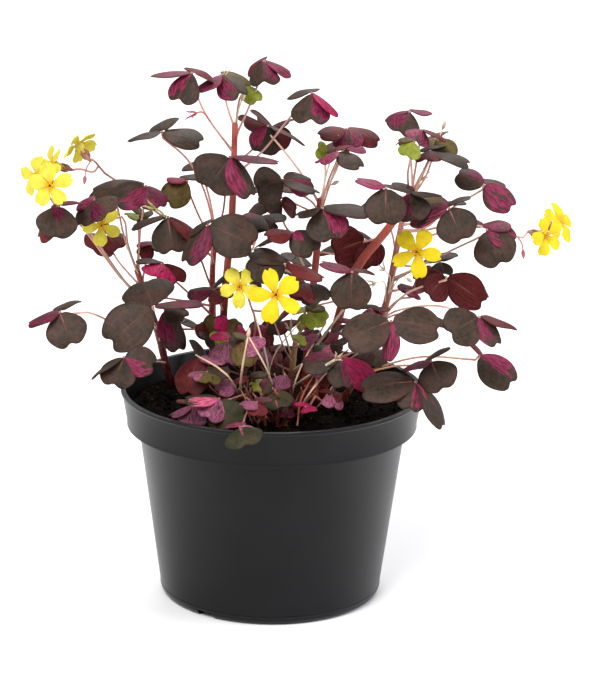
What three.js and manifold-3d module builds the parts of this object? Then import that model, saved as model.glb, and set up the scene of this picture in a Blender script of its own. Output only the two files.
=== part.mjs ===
// A dark-leaved wood sorrel with yellow flowers, in its round black nursery pot.
// Millimetres, +Z up. The origin is the centre of the pot's flat underside. The plant faces the viewer,
// who stands on the -Y side and looks along +Y, a little downward.

import * as THREE from "three";
import { mergeVertices } from "three/addons/utils/BufferGeometryUtils.js";
import Module from "manifold-3d";

const wasm = await Module();
wasm.setup();

// Pot
const POT_HEIGHT = 84;
const RIM_RADIUS = 60;
const BAND_HEIGHT = 14.5;
const BAND_FOOT_RADIUS = 57.3;
const BODY_TOP_RADIUS = 53;
const BASE_RADIUS = 44;
const BASE_CORNER = 3;
const BASE_CORNER_STEPS = 2;
const WALL = 1.2;
const FLOOR = 2;
const LIP_HEIGHT = 1.6;
const LIP_WIDTH = 2;
const LIP_STEP = 0.6;
const POT_SIDES = 42;
const NOTCH_COUNT = 3;
const NOTCH_ANGLE = 235;
const NOTCH_WIDTH = 7;
const NOTCH_HEIGHT = 2.5;
const NOTCH_DEPTH = 12;

// Soil
const SOIL_TOP = 76;
const SOIL_BUMP = 1.1;
const SOIL_RINGS = 3;
const SOIL_SIDES = 24;
const SOIL_GAP = 0.6;
const HOLE_GAP = 0.35;
const HOLE_SIDES = 6;

// Stems, stalks and leaflets
const ROOT_DEPTH = 12;
const FOOT_RISE = 3;
const FOOT_CLEAR = 1;
const STEM_SIDES = 5;
const STEM_STEPS = 8;
const STALK_STEPS = 2;
const STALK_STEPS_BENT = 5;
const STALK_RADIUS_FOOT = 0.75;
const STALK_RADIUS_TOP = 0.6;
const HUB_RADIUS = 1.1;
const HUB_HALF_HEIGHT = 0.45;
const HUB_NECK = 2.5;
const WIDE_GAP = 170;
const BLADE_THICK = 0.7;
const JOIN_TOLERANCE = 0.1;

// Blooms
const PETAL_COUNT = 5;
const PETAL_WIDTH = 0.72;
const TUBE_LENGTH = 5;
const TUBE_FOOT_RADIUS = 1.1;
const THROAT_RADIUS = 1.9;
const THROAT_DEPTH = 1.8;
const CALYX_LENGTH = 4;
const CALYX_RADIUS = 1.7;
const PEDICEL_RADIUS = 0.6;
const PEDICEL_SIDES = 5;
const BLOOM_GAP = 0.3;

const POT_COLOUR = 0x2a2a2c;
const SOIL_COLOUR = 0x15100d;
const LEAF_COLOUR = 0x4a433c;
const PETAL_COLOUR = 0xf2d815;

// The outline of a leaflet and of a petal. A point on a blade has its share across, from -1 to 1, and
// its share along, from 0 at the hub to 1 at the far end. Half an outline is listed, base to tip.
const LEAFLET = {
  half: [[1, 0.42], [1, 0.87], [0.62, 1]],
  middle: 0.55,
  widest: 0.58,
  taper: 0.6,
  endAngle: 54,
  notch: 0.1,
  notchSpread: 0.25,
  shoulder: 0.08,
  arch: 0.06,
};
const SMALL_LEAFLET = { ...LEAFLET, half: [[1, 0.5], [0.84, 0.97]] };
const SMALL_WIDTH = 15;
const PETAL = {
  half: [[1, 0.5], [0.92, 0.95]],
  middle: 0.55,
  widest: 0.8,
  taper: 1.9,
  endAngle: 52,
  notch: 0.05,
  notchSpread: 0.2,
  shoulder: 0.14,
  arch: 0.07,
};

// The viewer's eye and the picture plane that the plant is laid out on: 600 by 700 pixels
const EYE = new THREE.Vector3(10.7, -1100, 419);
const PITCH = 16.2;
const ROLL = 0.85;
const FOCAL_PIXELS = 2904;
const PICTURE_CENTRE = [300, 350];

// The leafy stems. A place is given as it looks to the viewer: pixels across the picture, pixels down it,
// and millimetres toward the viewer from the pot's axis. A stem has its route from the soil up and its
// thickness at the foot and the top. A leaf has the share of the stem's length that its stalk leaves
// from, its hub, the places that its stalk passes, and its leaflets: the tip's pixels across and down,
// its millimetres toward the viewer from the hub, the turn in degrees from facing the viewer to facing
// up, the width in millimetres, and the fold of each half in degrees.
const STEMS = {
  leafy_stem_tall: {
    route: [[222, 389, -25], [224, 307, -14], [232, 213, 0], [235, 125, 10]],
    thick: [3.6, 2.4],
    leaves: [
      { from: 0.9, hub: [192, 73, 24], past: [[205, 113, 19]], blades: [
        [150, 75, -2, 77, 15, 12],
        [178, 101, 11, 5, 16, 38],
        [209, 75, -17, 73, 15, 20],
      ] },
      { from: 0.99, hub: [221, 75, 12], past: [[229, 112, 10]], blades: [
        [194, 91, 6, 73, 15, 20],
        [242, 96, 9, 35, 15, 35],
        [249, 80, -9, 71, 13, 15],
      ] },
      { from: 0.97, hub: [246, 86, -5], past: [[240, 98, 0]], blades: [
        [258, 102, 5, 28, 10, 30],
        [254, 91, -7, 71, 8, 20],
        [241, 88, -4, 64, 7, 20],
      ] },
      { from: 0.95, hub: [264, 61, -8], past: [[252, 100, -2]], blades: [
        [264, 82, 11, 0, 17, 42],
        [249, 68, -6, 73, 14, 20],
        [292, 74, -3, 79, 14, 20],
      ] },
      { from: 0.82, hub: [312, 93, 17], past: [[262, 152, -3], [294, 113, 10]], blades: [
        [311, 122, 10, 0, 19, 34],
        [340, 116, 1, 77, 14, 20],
        [295, 92, -9, 73, 16, 15],
      ] },
      { from: 0.86, hub: [272, 127, -32], past: [[252, 150, -14]], blades: [
        [281, 153, 5, 150, 17, 15],
        [291, 121, -9, 100, 13, 15],
        [254, 116, -9, 110, 16, 10],
      ] },
      { from: 0.55, hub: [262, 216, -6], past: [[247, 256, -8]], blades: [
        [241, 219, 3, 69, 13, 15],
        [277, 224, 7, 40, 17, 20],
        [262, 232, 11, 10, 14, 15],
      ] },
      { from: 0.3, hub: [214, 290, -3], blades: [
        [187, 291, -2, 57, 14, 28],
        [226, 300, 9, 30, 12, 20],
        [220, 279, -9, 71, 12, 15],
      ] },
    ],
  },
  leafy_stem_slim: {
    route: [[213, 388, -26], [212, 305, -26], [213, 262, -20], [216, 236, -16]],
    thick: [3.0, 2.2],
    leaves: [
      { from: 1.0, hub: [162, 132, -4], past: [[204, 190, -10], [188, 160, -8]], blades: [
        [203, 143, 4, 61, 16, 10],
        [126, 141, 3, 79, 15, 10],
        [166, 120, -14, 40, 14, 10],
      ] },
      { from: 0.98, hub: [230, 157, 19], past: [[223, 212, -8], [226, 184, 3]], blades: [
        [207, 189, 5, 0, 22, 6],
        [281, 162, 2, 82, 17, 12],
        [252, 198, 5, 38, 15, 34],
      ] },
      { from: 0.97, hub: [187, 181, -6], past: [[202, 222, -10]], blades: [
        [166, 205, 7, 10, 13, 12],
        [166, 178, 0, 73, 11, 20],
        [200, 174, -10, 59, 13, 12],
      ] },
      { from: 0.85, hub: [168, 217, 10], past: [[186, 237, 0]], blades: [
        [172, 254, 7, 0, 17, 24],
        [207, 244, -2, 69, 15, 18],
        [131, 227, -3, 82, 13, 12],
      ] },
      { from: 0.8, hub: [208, 225, 22], past: [[211, 245, 0]], blades: [
        [256, 246, 5, 10, 19, 5],
        [184, 264, 6, 45, 15, 30],
        [193, 229, -8, 71, 13, 15],
      ] },
      { from: 0.45, hub: [163, 264, 3], past: [[183, 288, -12]], blades: [
        [157, 278, 9, 5, 16, 20],
        [138, 259, -5, 81, 13, 12],
        [179, 284, -8, 150, 13, 15],
      ] },
    ],
  },
  leafy_stem_left: {
    route: [[172, 389, -25], [156, 326, -20], [146, 297, -17], [137, 270, -15]],
    thick: [3.4, 2.4],
    leaves: [
      { from: 0.97, hub: [146, 186, 3], past: [[140, 234, -10]], blades: [
        [114, 203, 7, 25, 15, 15],
        [89, 192, -8, 59, 16, 18],
        [161, 208, 7, 25, 14, 30],
      ] },
      { from: 0.92, hub: [94, 200, 17], past: [[124, 236, -10], [116, 205, -4]], blades: [
        [109, 215, 10, 12, 15, 15],
        [77, 204, -4, 71, 12, 18],
        [80, 227, 7, 40, 13, 22],
      ] },
      { from: 0.75, hub: [58, 206, 27], past: [[126, 284, -8], [84, 229, -4]], blades: [
        [56, 239, 8, 0, 17, 8],
        [73, 201, -8, 81, 15, 12],
        [38, 241, -2, 45, 13, 30],
      ] },
      { from: 0.55, hub: [60, 312, 37], past: [[118, 324, 10], [84, 312, 31]], blades: [
        [72, 347, 8, 0, 17, 6],
        [27, 324, 1, 69, 13, 18],
        [72, 301, -11, 73, 14, 12],
      ] },
      { from: 0.5, hub: [153, 307, 27], past: [[152, 318, -4]], blades: [
        [144, 279, -15, 0, 22, 5],
        [107, 345, 6, 15, 20, 5],
        [204, 303, -2, 77, 16, 12],
      ] },
      { from: 0.4, hub: [165, 310, 3], past: [[160, 330, -10]], blades: [
        [180, 352, 8, 30, 14, 30],
        [186, 318, 6, 45, 12, 20],
        [190, 302, -9, 71, 12, 15],
      ] },
      { from: 0.22, hub: [124, 357, 51], past: [[154, 362, 0]], blades: [
        [89, 379, 4, 82, 13, 12],
        [113, 386, 10, 5, 16, 26],
        [156, 366, 2, 10, 13, 10],
      ] },
      { from: 0.84, hub: [108, 236, -26], past: [[119, 262, -20]], blades: [
        [92, 250, 8, 20, 15, 15],
        [119, 250, 5, 25, 12, 15],
        [118, 232, -12, 40, 12, 10],
      ] },
      { from: 1.0, hub: [139, 216, -16], past: [[139, 240, -17]], blades: [
        [126, 215, 3, 64, 9, 15],
        [149, 218, 4, 45, 10, 20],
        [138, 206, -8, 40, 9, 15],
      ] },
      { from: 0.88, hub: [152, 245, -14], past: [[147, 260, -15]], blades: [
        [138, 256, 2, 40, 11, 22],
        [139, 243, -4, 71, 9, 15],
        [166, 249, 2, 73, 10, 15],
      ] },
    ],
  },
  leafy_stem_middle: {
    route: [[303, 404, -5], [312, 300, -2], [317, 248, 0], [320, 200, 0]],
    thick: [3.6, 2.6],
    leaves: [
      { from: 0.98, hub: [268, 126, -12], past: [[303, 176, -4], [274, 139, -10]], blades: [
        [241, 122, -6, 108, 19, 8],
        [258, 153, 3, 8, 17, 36],
        [307, 146, 2, 82, 14, 10],
      ] },
      { from: 1.0, hub: [346, 129, -4], past: [[338, 166, -2]], blades: [
        [318, 135, 3, 64, 14, 15],
        [350, 148, 10, 0, 14, 22],
        [380, 143, 2, 61, 14, 15],
      ] },
      { from: 0.94, hub: [337, 152, 14], past: [[328, 182, 5]], blades: [
        [362, 168, 5, 57, 14, 12],
        [318, 164, 6, 77, 12, 14],
        [343, 146, -9, 64, 12, 12],
      ] },
      { from: 0.97, hub: [327, 153, -6], past: [[325, 180, -3]], blades: [
        [317, 147, 2, 25, 9, 20],
        [334, 158, 4, 40, 7, 20],
      ] },
      { from: 0.93, hub: [283, 180, 7], past: [[312, 202, 5]], blades: [
        [255, 190, 1, 22, 18, 12],
        [314, 182, -6, 40, 15, 28],
        [318, 194, 9, 77, 15, 14],
      ] },
      { from: 0.8, hub: [281, 201, -18], past: [[288, 230, -10]], blades: [
        [262, 206, 6, 30, 14, 15],
        [297, 212, 5, 120, 12, 12],
        [250, 208, -9, 59, 16, 12],
      ] },
      { from: 0.88, hub: [322, 208, 17], past: [[320, 218, 8]], blades: [
        [333, 241, 8, 10, 19, 20],
        [370, 213, 0, 69, 16, 10],
        [296, 217, 3, 82, 13, 12],
      ] },
      { from: 0.6, hub: [292, 232, 14], past: [[303, 264, 3]], blades: [
        [265, 237, 4, 57, 13, 15],
        [316, 253, 6, 25, 14, 15],
        [255, 247, -6, 82, 14, 12],
      ] },
      { from: 0.56, hub: [285, 264, 24], past: [[296, 276, 8]], blades: [
        [247, 273, 7, 30, 16, 10],
        [250, 250, -5, 64, 16, 10],
        [325, 280, 4, 69, 15, 18],
      ] },
      { from: 0.52, hub: [308, 284, 20], blades: [
        [286, 290, 4, 40, 14, 15],
        [322, 302, 8, 20, 14, 25],
        [300, 299, 9, 15, 15, 20],
      ] },
    ],
  },
  leafy_stem_slanting: {
    route: [[322, 398, -14], [338, 320, -14], [355, 271, -8], [390, 226, 0], [413, 190, 8]],
    thick: [4.4, 3.0],
    leaves: [
      { from: 0.7, hub: [366, 240, -18], past: [[377, 239, -8]], blades: [
        [331, 253, 4, 160, 20, 8],
        [372, 269, 9, 165, 15, 12],
        [360, 232, -9, 71, 12, 12],
      ] },
      { from: 0.93, hub: [386, 188, 34], past: [[402, 197, 17]], blades: [
        [385, 226, 7, 0, 17, 6],
        [355, 178, -2, 69, 12, 15],
        [405, 189, -8, 77, 13, 12],
      ] },
      { from: 1.0, hub: [410, 112, -4], past: [[411, 160, 2]], blades: [
        [399, 133, 9, 5, 16, 24],
        [430, 112, -4, 77, 12, 12],
        [385, 119, -4, 82, 11, 12],
      ] },
      { from: 0.99, hub: [422, 130, 14], past: [[416, 165, 8]], blades: [
        [415, 142, 10, 0, 12, 22],
        [396, 145, 4, 73, 13, 18],
        [448, 141, 1, 81, 13, 12],
      ] },
      { from: 0.88, hub: [435, 139, -4], past: [[425, 178, 0]], blades: [
        [453, 156, 7, 25, 13, 22],
        [420, 141, 2, 69, 11, 15],
        [440, 133, -10, 59, 10, 12],
      ] },
      { from: 0.94, hub: [430, 151, 8], past: [[420, 178, 12]], blades: [
        [471, 165, 2, 73, 14, 12],
        [425, 161, 8, 25, 12, 24],
        [436, 146, -10, 64, 12, 12],
      ] },
      { from: 0.97, hub: [414, 142, 39], past: [[408, 172, 24]], blades: [
        [406, 157, 5, 10, 11, 30],
        [401, 138, -5, 71, 8, 20],
      ] },
      { from: 0.95, hub: [409, 193, 20], past: [[411, 200, 14]], blades: [
        [414, 221, 8, 0, 17, 24],
        [443, 196, 2, 81, 14, 12],
        [398, 182, -10, 59, 10, 12],
      ] },
      { from: 0.48, hub: [352, 272, 20], past: [[349, 285, -2]], blades: [
        [350, 311, 5, 0, 17, 4],
        [319, 262, -2, 69, 13, 15],
        [370, 271, -8, 81, 12, 12],
      ] },
      { from: 0.15, hub: [371, 309, 10], past: [[356, 350, -18], [366, 328, -12]], blades: [
        [391, 308, 0, 77, 12, 12],
        [372, 320, 9, 10, 10, 20],
        [362, 306, -7, 71, 11, 12],
      ] },
    ],
  },
  leafy_stem_right: {
    route: [[361, 389, -22], [369, 355, -22], [387, 300, -18], [394, 262, -14], [403, 216, -10]],
    thick: [3.6, 2.2],
    leaves: [
      { from: 0.98, hub: [484, 185, -4], past: [[428, 221, -9], [460, 203, -6]], blades: [
        [457, 172, -3, 45, 14, 18],
        [514, 208, 5, 25, 15, 25],
        [497, 181, -12, 59, 13, 12],
      ] },
      { from: 0.95, hub: [449, 208, 24], past: [[424, 222, -2]], blades: [
        [463, 241, 8, 0, 17, 6],
        [409, 219, -7, 59, 15, 16],
        [463, 197, -10, 77, 13, 12],
      ] },
      { from: 0.92, hub: [446, 206, 0], past: [[425, 228, -6]], blades: [
        [424, 203, 4, 38, 14, 18],
        [432, 195, -6, 69, 12, 12],
        [460, 201, -8, 71, 12, 12],
      ] },
      { from: 0.62, hub: [487, 230, 17], past: [[438, 257, 0], [478, 238, 14]], blades: [
        [502, 266, 6, 5, 18, 8],
        [505, 221, -7, 57, 14, 15],
        [516, 242, 1, 35, 12, 15],
      ] },
      { from: 0.4, hub: [446, 277, 7], past: [[411, 291, 3]], blades: [
        [413, 281, -2, 130, 15, 12],
        [485, 305, 4, 150, 17, 6],
        [427, 297, 6, 160, 14, 14],
      ] },
      { from: 0.42, hub: [413, 291, -8], past: [[398, 300, -14]], blades: [
        [399, 283, -2, 64, 11, 18],
        [413, 298, 8, 30, 8, 15],
        [432, 270, -8, 120, 14, 12],
      ] },
      { from: 0.3, hub: [391, 321, 44], past: [[388, 324, 7]], blades: [
        [442, 330, 3, 25, 17, 5],
        [344, 343, 6, 25, 18, 12],
        [386, 363, 6, 40, 12, 34],
      ] },
      { from: 0.32, hub: [479, 317, 37], past: [[391, 313, -4], [440, 306, 17]], blades: [
        [448, 335, 6, 10, 18, 6],
        [518, 328, -2, 75, 14, 12],
        [498, 346, 6, 30, 11, 28],
      ] },
      { from: 0.72, hub: [440, 262, -14], blades: [
        [445, 275, 5, 30, 11, 15],
        [428, 258, -4, 71, 12, 12],
        [452, 252, -8, 59, 11, 12],
      ] },
    ],
  },
  tuft_right: {
    route: [[345, 399, -8], [352, 384, -6], [358, 374, -4]],
    thick: [2.8, 2.2],
    leaves: [
      { from: 0.9, hub: [431, 361, 30], past: [[396, 366, 14]], blades: [
        [444, 391, 8, 0, 17, 5],
        [401, 370, 2, 71, 12, 15],
        [443, 348, -10, 75, 13, 12],
      ] },
      { from: 1.0, hub: [479, 356, 18], past: [[420, 357, 8]], blades: [
        [514, 385, 6, 30, 17, 16],
        [477, 347, -9, 59, 11, 12],
      ] },
      { from: 0.8, hub: [415, 382, 36], past: [[384, 384, 18]], blades: [
        [359, 390, 2, 38, 17, 14],
        [409, 411, 8, 5, 14, 24],
        [445, 428, 3, 64, 14, 15],
      ] },
      { from: 0.7, hub: [340, 358, 26], past: [[346, 372, 12]], blades: [
        [376, 387, 5, 35, 14, 22],
        [343, 389, 9, 10, 13, 26],
        [301, 366, 0, 45, 13, 18],
      ] },
      { from: 0.95, hub: [372, 352, -5], blades: [
        [390, 362, 4, 40, 13, 12],
        [360, 362, 6, 30, 12, 15],
        [368, 342, -9, 64, 11, 12],
      ] },
    ],
  },
  young_shoot: {
    route: [[290, 398, -14], [293, 362, -12], [296, 338, -11]],
    thick: [3.2, 2.2],
    leaves: [
      { from: 1.0, hub: [305, 313, -11], blades: [
        [303, 331, 6, 10, 8, 25],
        [314, 304, -7, 59, 9, 15],
        [294, 309, -5, 59, 8, 15],
      ] },
      { from: 0.97, hub: [310, 313, 11], past: [[302, 330, -3]], blades: [
        [316, 329, 5, 25, 8, 20],
        [328, 321, 1, 25, 10, 15],
        [320, 305, -6, 45, 9, 12],
      ] },
      { from: 0.85, hub: [304, 337, 8], blades: [
        [313, 345, 5, 15, 10, 18],
        [296, 342, 5, 30, 8, 15],
        [308, 330, -7, 59, 8, 15],
      ] },
      { from: 0.6, hub: [281, 322, -20], past: [[288, 345, -16]], blades: [
        [262, 322, 3, 35, 13, 15],
        [290, 330, 5, 25, 12, 15],
        [284, 311, -9, 59, 12, 12],
      ] },
      { from: 0.45, hub: [268, 351, -8], past: [[278, 365, -10]], blades: [
        [252, 351, 4, 25, 13, 15],
        [262, 362, 8, 10, 12, 15],
        [284, 345, -3, 71, 12, 15],
      ] },
      { from: 0.38, hub: [282, 365, -28], past: [[286, 376, -20]], blades: [
        [270, 361, -1, 30, 13, 15],
        [297, 364, 1, 30, 13, 15],
        [283, 382, 5, 15, 12, 15],
      ] },
    ],
  },
  tuft_left: {
    route: [[245, 395, -17], [244, 380, -13], [243, 362, -11]],
    thick: [2.8, 2.2],
    leaves: [
      { from: 1.0, hub: [247, 336, 2], blades: [
        [238, 332, 4, 40, 9, 20],
        [266, 331, 3, 35, 10, 20],
        [250, 328, -8, 59, 9, 15],
      ] },
      { from: 0.92, hub: [226, 335, -2], past: [[234, 350, -7]], blades: [
        [221, 315, -2, 40, 9, 28],
        [239, 320, -2, 25, 10, 20],
        [213, 341, 5, 35, 10, 20],
      ] },
      { from: 0.8, hub: [214, 340, -6], past: [[229, 358, -11]], blades: [
        [215, 314, -2, 25, 12, 15],
        [199, 322, -3, 45, 12, 18],
        [203, 340, 6, 35, 11, 15],
      ] },
      { from: 0.62, hub: [199, 357, 14], past: [[222, 369, 0]], blades: [
        [187, 397, 9, 25, 17, 10],
        [229, 362, 6, 69, 12, 18],
        [199, 343, -10, 45, 12, 15],
      ] },
      { from: 0.72, hub: [228, 341, 14], past: [[236, 357, 3]], blades: [
        [227, 366, 7, 5, 17, 22],
        [250, 344, -2, 45, 10, 15],
        [215, 333, -6, 59, 10, 15],
      ] },
      { from: 0.55, hub: [246, 341, 19], past: [[250, 358, 6]], blades: [
        [243, 367, 8, 5, 12, 18],
        [262, 350, 4, 25, 12, 15],
        [240, 333, -9, 45, 9, 12],
      ] },
      { from: 0.42, hub: [207, 372, 24], past: [[226, 380, 6]], blades: [
        [191, 378, 5, 59, 10, 20],
        [210, 384, 8, 15, 11, 15],
        [230, 368, -3, 45, 12, 15],
      ] },
      { from: 0.3, hub: [234, 386, 22], blades: [
        [217, 392, 6, 45, 9, 20],
        [214, 382, -2, 64, 9, 20],
        [243, 376, -6, 59, 9, 15],
      ] },
      { from: 0.86, hub: [260, 335, -26], past: [[250, 352, -20]], blades: [
        [247, 330, 0, 30, 13, 15],
        [273, 331, 0, 30, 13, 15],
        [261, 350, 5, 15, 12, 15],
      ] },
    ],
  },
  tuft_front: {
    route: [[262, 408, 0], [261, 398, 4], [260, 390, 7]],
    thick: [2.6, 2.0],
    leaves: [
      { from: 0.95, hub: [219, 399, 34], past: [[240, 396, 22]], blades: [
        [231, 429, 6, 0, 17, 16],
        [184, 399, 1, 61, 13, 20],
        [206, 420, 7, 10, 13, 22],
      ] },
      { from: 0.9, hub: [192, 406, 26], past: [[222, 404, 16]], blades: [
        [169, 416, 4, 71, 10, 20],
        [193, 426, 6, 15, 14, 15],
        [184, 400, -8, 59, 10, 15],
      ] },
      { from: 0.6, hub: [240, 427, 64], past: [[250, 406, 26]], blades: [
        [247, 447, 8, 0, 16, 10],
        [256, 437, 2, 45, 10, 20],
        [232, 424, -7, 59, 9, 15],
      ] },
      { from: 0.98, hub: [275, 390, 24], blades: [
        [281, 409, 8, 5, 13, 15],
        [285, 375, -5, 30, 10, 25],
        [264, 384, -2, 40, 9, 15],
      ] },
      { from: 0.95, hub: [264, 379, 10], blades: [
        [257, 393, 8, 15, 10, 15],
        [270, 389, 7, 30, 7, 18],
        [256, 372, -7, 45, 9, 15],
      ] },
      { from: 0.5, hub: [257, 402, 40], blades: [
        [241, 406, 4, 61, 10, 20],
        [258, 417, 7, 15, 9, 15],
        [268, 397, -4, 59, 10, 15],
      ] },
      { from: 0.5, hub: [283, 406, 22], blades: [
        [297, 401, -3, 45, 9, 18],
        [286, 418, 7, 15, 9, 15],
      ] },
    ],
  },
  tuft_centre: {
    route: [[318, 409, 0], [316, 397, 3], [314, 387, 6]],
    thick: [2.6, 2.0],
    leaves: [
      { from: 0.95, hub: [330, 345, 10], past: [[322, 368, 7]], blades: [
        [318, 354, 6, 40, 11, 18],
        [345, 346, 4, 45, 11, 18],
        [331, 335, -9, 45, 11, 12],
      ] },
      { from: 0.9, hub: [350, 325, -2], past: [[330, 360, 4]], blades: [
        [337, 334, 5, 45, 11, 18],
        [345, 318, -5, 59, 10, 18],
        [362, 326, -4, 59, 11, 15],
      ] },
      { from: 0.6, hub: [306, 407, 31], blades: [
        [311, 412, 5, 30, 8, 18],
        [302, 402, -3, 45, 9, 15],
      ] },
      { from: 0.55, hub: [332, 395, 24], past: [[324, 402, 14]], blades: [
        [334, 409, 7, 15, 10, 18],
        [343, 396, 0, 59, 9, 18],
        [326, 390, -6, 59, 9, 15],
      ] },
      { from: 0.98, hub: [322, 374, 18], blades: [
        [333, 381, 5, 35, 10, 20],
        [309, 370, 3, 64, 10, 15],
      ] },
      { from: 0.8, hub: [322, 344, -24], past: [[318, 372, -12]], blades: [
        [309, 339, 0, 30, 13, 15],
        [335, 340, 0, 30, 13, 15],
        [322, 358, 5, 15, 12, 15],
      ] },
    ],
  },
  leafy_stem_back_left: {
    route: [[216, 379, -38], [213, 310, -45], [213, 262, -48], [216, 236, -46]],
    thick: [3.0, 2.2],
    leaves: [
      { from: 1.0, hub: [205, 168, -44], past: [[211, 205, -47]], blades: [
        [191, 162, -13, 50, 15, 12],
        [222, 165, -12, 52, 16, 10],
        [207, 184, 1, 58, 14, 14],
      ] },
      { from: 0.88, hub: [232, 236, -54], blades: [
        [216, 231, -14, 48, 16, 10],
        [249, 234, -12, 52, 15, 12],
        [230, 251, 1, 60, 13, 14],
      ] },
      { from: 0.5, hub: [146, 291, -38], past: [[180, 300, -44]], blades: [
        [131, 287, -12, 50, 14, 12],
        [160, 288, -14, 47, 15, 12],
        [147, 304, 0, 60, 12, 14],
      ] },
      { from: 0.34, hub: [180, 324, -40], blades: [
        [167, 317, -13, 50, 14, 14],
        [193, 321, -13, 52, 14, 12],
        [177, 337, -1, 62, 12, 14],
      ] },
      { from: 0.62, hub: [254, 276, -48], past: [[234, 285, -49]], blades: [
        [240, 271, -14, 50, 14, 12],
        [268, 272, -12, 50, 15, 12],
        [253, 290, 0, 60, 13, 14],
      ] },
    ],
  },
  leafy_stem_back_middle: {
    route: [[306, 375, -44], [311, 310, -51], [316, 255, -54], [319, 215, -52]],
    thick: [3.2, 2.2],
    leaves: [
      { from: 1.0, hub: [272, 189, -50], past: [[300, 206, -52]], blades: [
        [257, 184, -13, 50, 15, 12],
        [288, 183, -14, 48, 16, 10],
        [271, 203, 1, 60, 14, 14],
      ] },
      { from: 0.96, hub: [344, 149, -46], past: [[330, 184, -50]], blades: [
        [330, 142, -12, 52, 14, 12],
        [359, 144, -12, 50, 14, 12],
        [345, 163, 0, 60, 12, 16],
      ] },
      { from: 0.76, hub: [342, 251, -58], blades: [
        [327, 246, -14, 50, 15, 12],
        [358, 247, -12, 52, 15, 12],
        [341, 266, 0, 60, 13, 14],
      ] },
      { from: 0.6, hub: [289, 262, -56], blades: [
        [275, 256, -12, 50, 14, 12],
        [303, 257, -14, 48, 15, 12],
        [288, 276, 0, 60, 13, 14],
      ] },
      { from: 0.42, hub: [347, 293, -52], blades: [
        [333, 287, -13, 50, 15, 12],
        [362, 289, -13, 52, 14, 12],
        [346, 307, 0, 60, 13, 14],
      ] },
    ],
  },
  leafy_stem_back_right: {
    route: [[356, 385, -30], [371, 345, -39], [388, 298, -42], [396, 255, -40]],
    thick: [3.2, 2.2],
    leaves: [
      { from: 1.0, hub: [382, 206, -40], past: [[391, 230, -41]], blades: [
        [367, 201, -13, 50, 15, 12],
        [398, 202, -12, 50, 15, 12],
        [383, 220, 1, 60, 14, 14],
      ] },
      { from: 0.94, hub: [460, 223, -36], past: [[426, 238, -40]], blades: [
        [445, 217, -13, 48, 15, 12],
        [475, 219, -12, 52, 15, 12],
        [461, 237, 1, 60, 13, 14],
      ] },
      { from: 0.5, hub: [424, 322, -40], past: [[402, 314, -43]], blades: [
        [408, 317, -14, 50, 16, 10],
        [440, 318, -13, 50, 15, 12],
        [425, 337, 0, 60, 14, 14],
      ] },
      { from: 0.72, hub: [467, 290, -40], past: [[430, 285, -42]], blades: [
        [452, 285, -13, 50, 15, 12],
        [482, 287, -12, 52, 15, 12],
        [466, 304, 1, 60, 13, 14],
      ] },
      { from: 0.3, hub: [356, 330, -54], blades: [
        [342, 325, -12, 50, 14, 12],
        [369, 325, -13, 48, 14, 12],
        [355, 344, 0, 60, 12, 14],
      ] },
    ],
  },
};

// The blooms. A bloom's stalk leaves a stem at a share of its length, or another bloom's stalk at one
// of its steps, and passes some places. A bloom has its throat, a place ahead of it on its axis, the
// length of its petals, how far they open from the axis in degrees, and its turn on the axis.
const BLOOMS = {
  bloom_left_high: {
    stem: "leafy_stem_slim",
    from: 0.62,
    past: [[190, 240, -8], [155, 211, -12], [118, 182, -14], [102, 171, -9], [94, 160, -3]],
    throat: [79, 145, 5], ahead: [70, 132, 0],
    petal: 8.5, opened: 98, spin: 10,
  },
  bloom_left_middle: {
    stem: "leafy_stem_slim",
    fork: "bloom_left_high",
    step: 4,
    past: [[92, 172, -14], [80, 169, -14]],
    throat: [53, 164, -12], ahead: [40, 160, -9],
    petal: 8.5, opened: 80, spin: 20,
  },
  bloom_left_outer: {
    stem: "leafy_stem_left",
    from: 0.78,
    past: [[127, 284, -4], [84, 226, -6], [62, 213, 0], [48, 195, 2]],
    throat: [37, 176, 5], ahead: [24, 172, 10],
    petal: 8.5, opened: 85, spin: 0,
  },
  bloom_left_front: {
    stem: "leafy_stem_left",
    fork: "bloom_left_outer",
    step: 4,
    past: [[60, 209, 7]],
    throat: [50, 186, 37], ahead: [46, 184, 54],
    petal: 9.0, opened: 86, spin: -14,
  },
  bloom_left_low: {
    stem: "leafy_stem_left",
    from: 0.96,
    past: [[128, 245, -6], [122, 217, 0]],
    throat: [102, 225, 10], ahead: [92, 232, 28],
    petal: 8.5, opened: 84, spin: 12,
  },
  bloom_centre_left: {
    stem: "tuft_left",
    from: 0.97,
    past: [[253, 342, 4], [255, 318, 15], [249, 301, 20]],
    throat: [240, 287, 25], ahead: [226, 284, 42],
    petal: 9.0, opened: 82, spin: 20,
  },
  bloom_centre_right: {
    stem: "tuft_left",
    fork: "bloom_centre_left",
    step: 4,
    past: [[262, 311, 22], [270, 306, 27]],
    throat: [276, 295, 38], ahead: [273, 291, 58],
    petal: 10.8, opened: 86, spin: 2,
  },
  bloom_right_middle: {
    stem: "leafy_stem_right",
    from: 0.64,
    past: [[410, 271, -2], [422, 265, 10]],
    throat: [417, 252, 24], ahead: [408, 248, 42],
    petal: 10.0, opened: 84, spin: 30,
  },
  bloom_right_inner: {
    stem: "leafy_stem_right",
    from: 0.93,
    past: [[415, 232, -12], [440, 227, -12], [470, 225, -8], [500, 231, -4], [522, 238, 0]],
    throat: [545, 236, 3], ahead: [560, 240, 9],
    petal: 8.5, opened: 76, spin: 0,
  },
  bloom_right_outer: {
    stem: "leafy_stem_right",
    fork: "bloom_right_inner",
    step: 5,
    past: [[535, 234, -8]],
    throat: [560, 222, -12], ahead: [576, 215, -8],
    petal: 9.0, opened: 92, spin: 30,
  },
};

const radians = THREE.MathUtils.degToRad;
const UP = new THREE.Vector3(0, 0, 1);

// Joining and cutting

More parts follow.
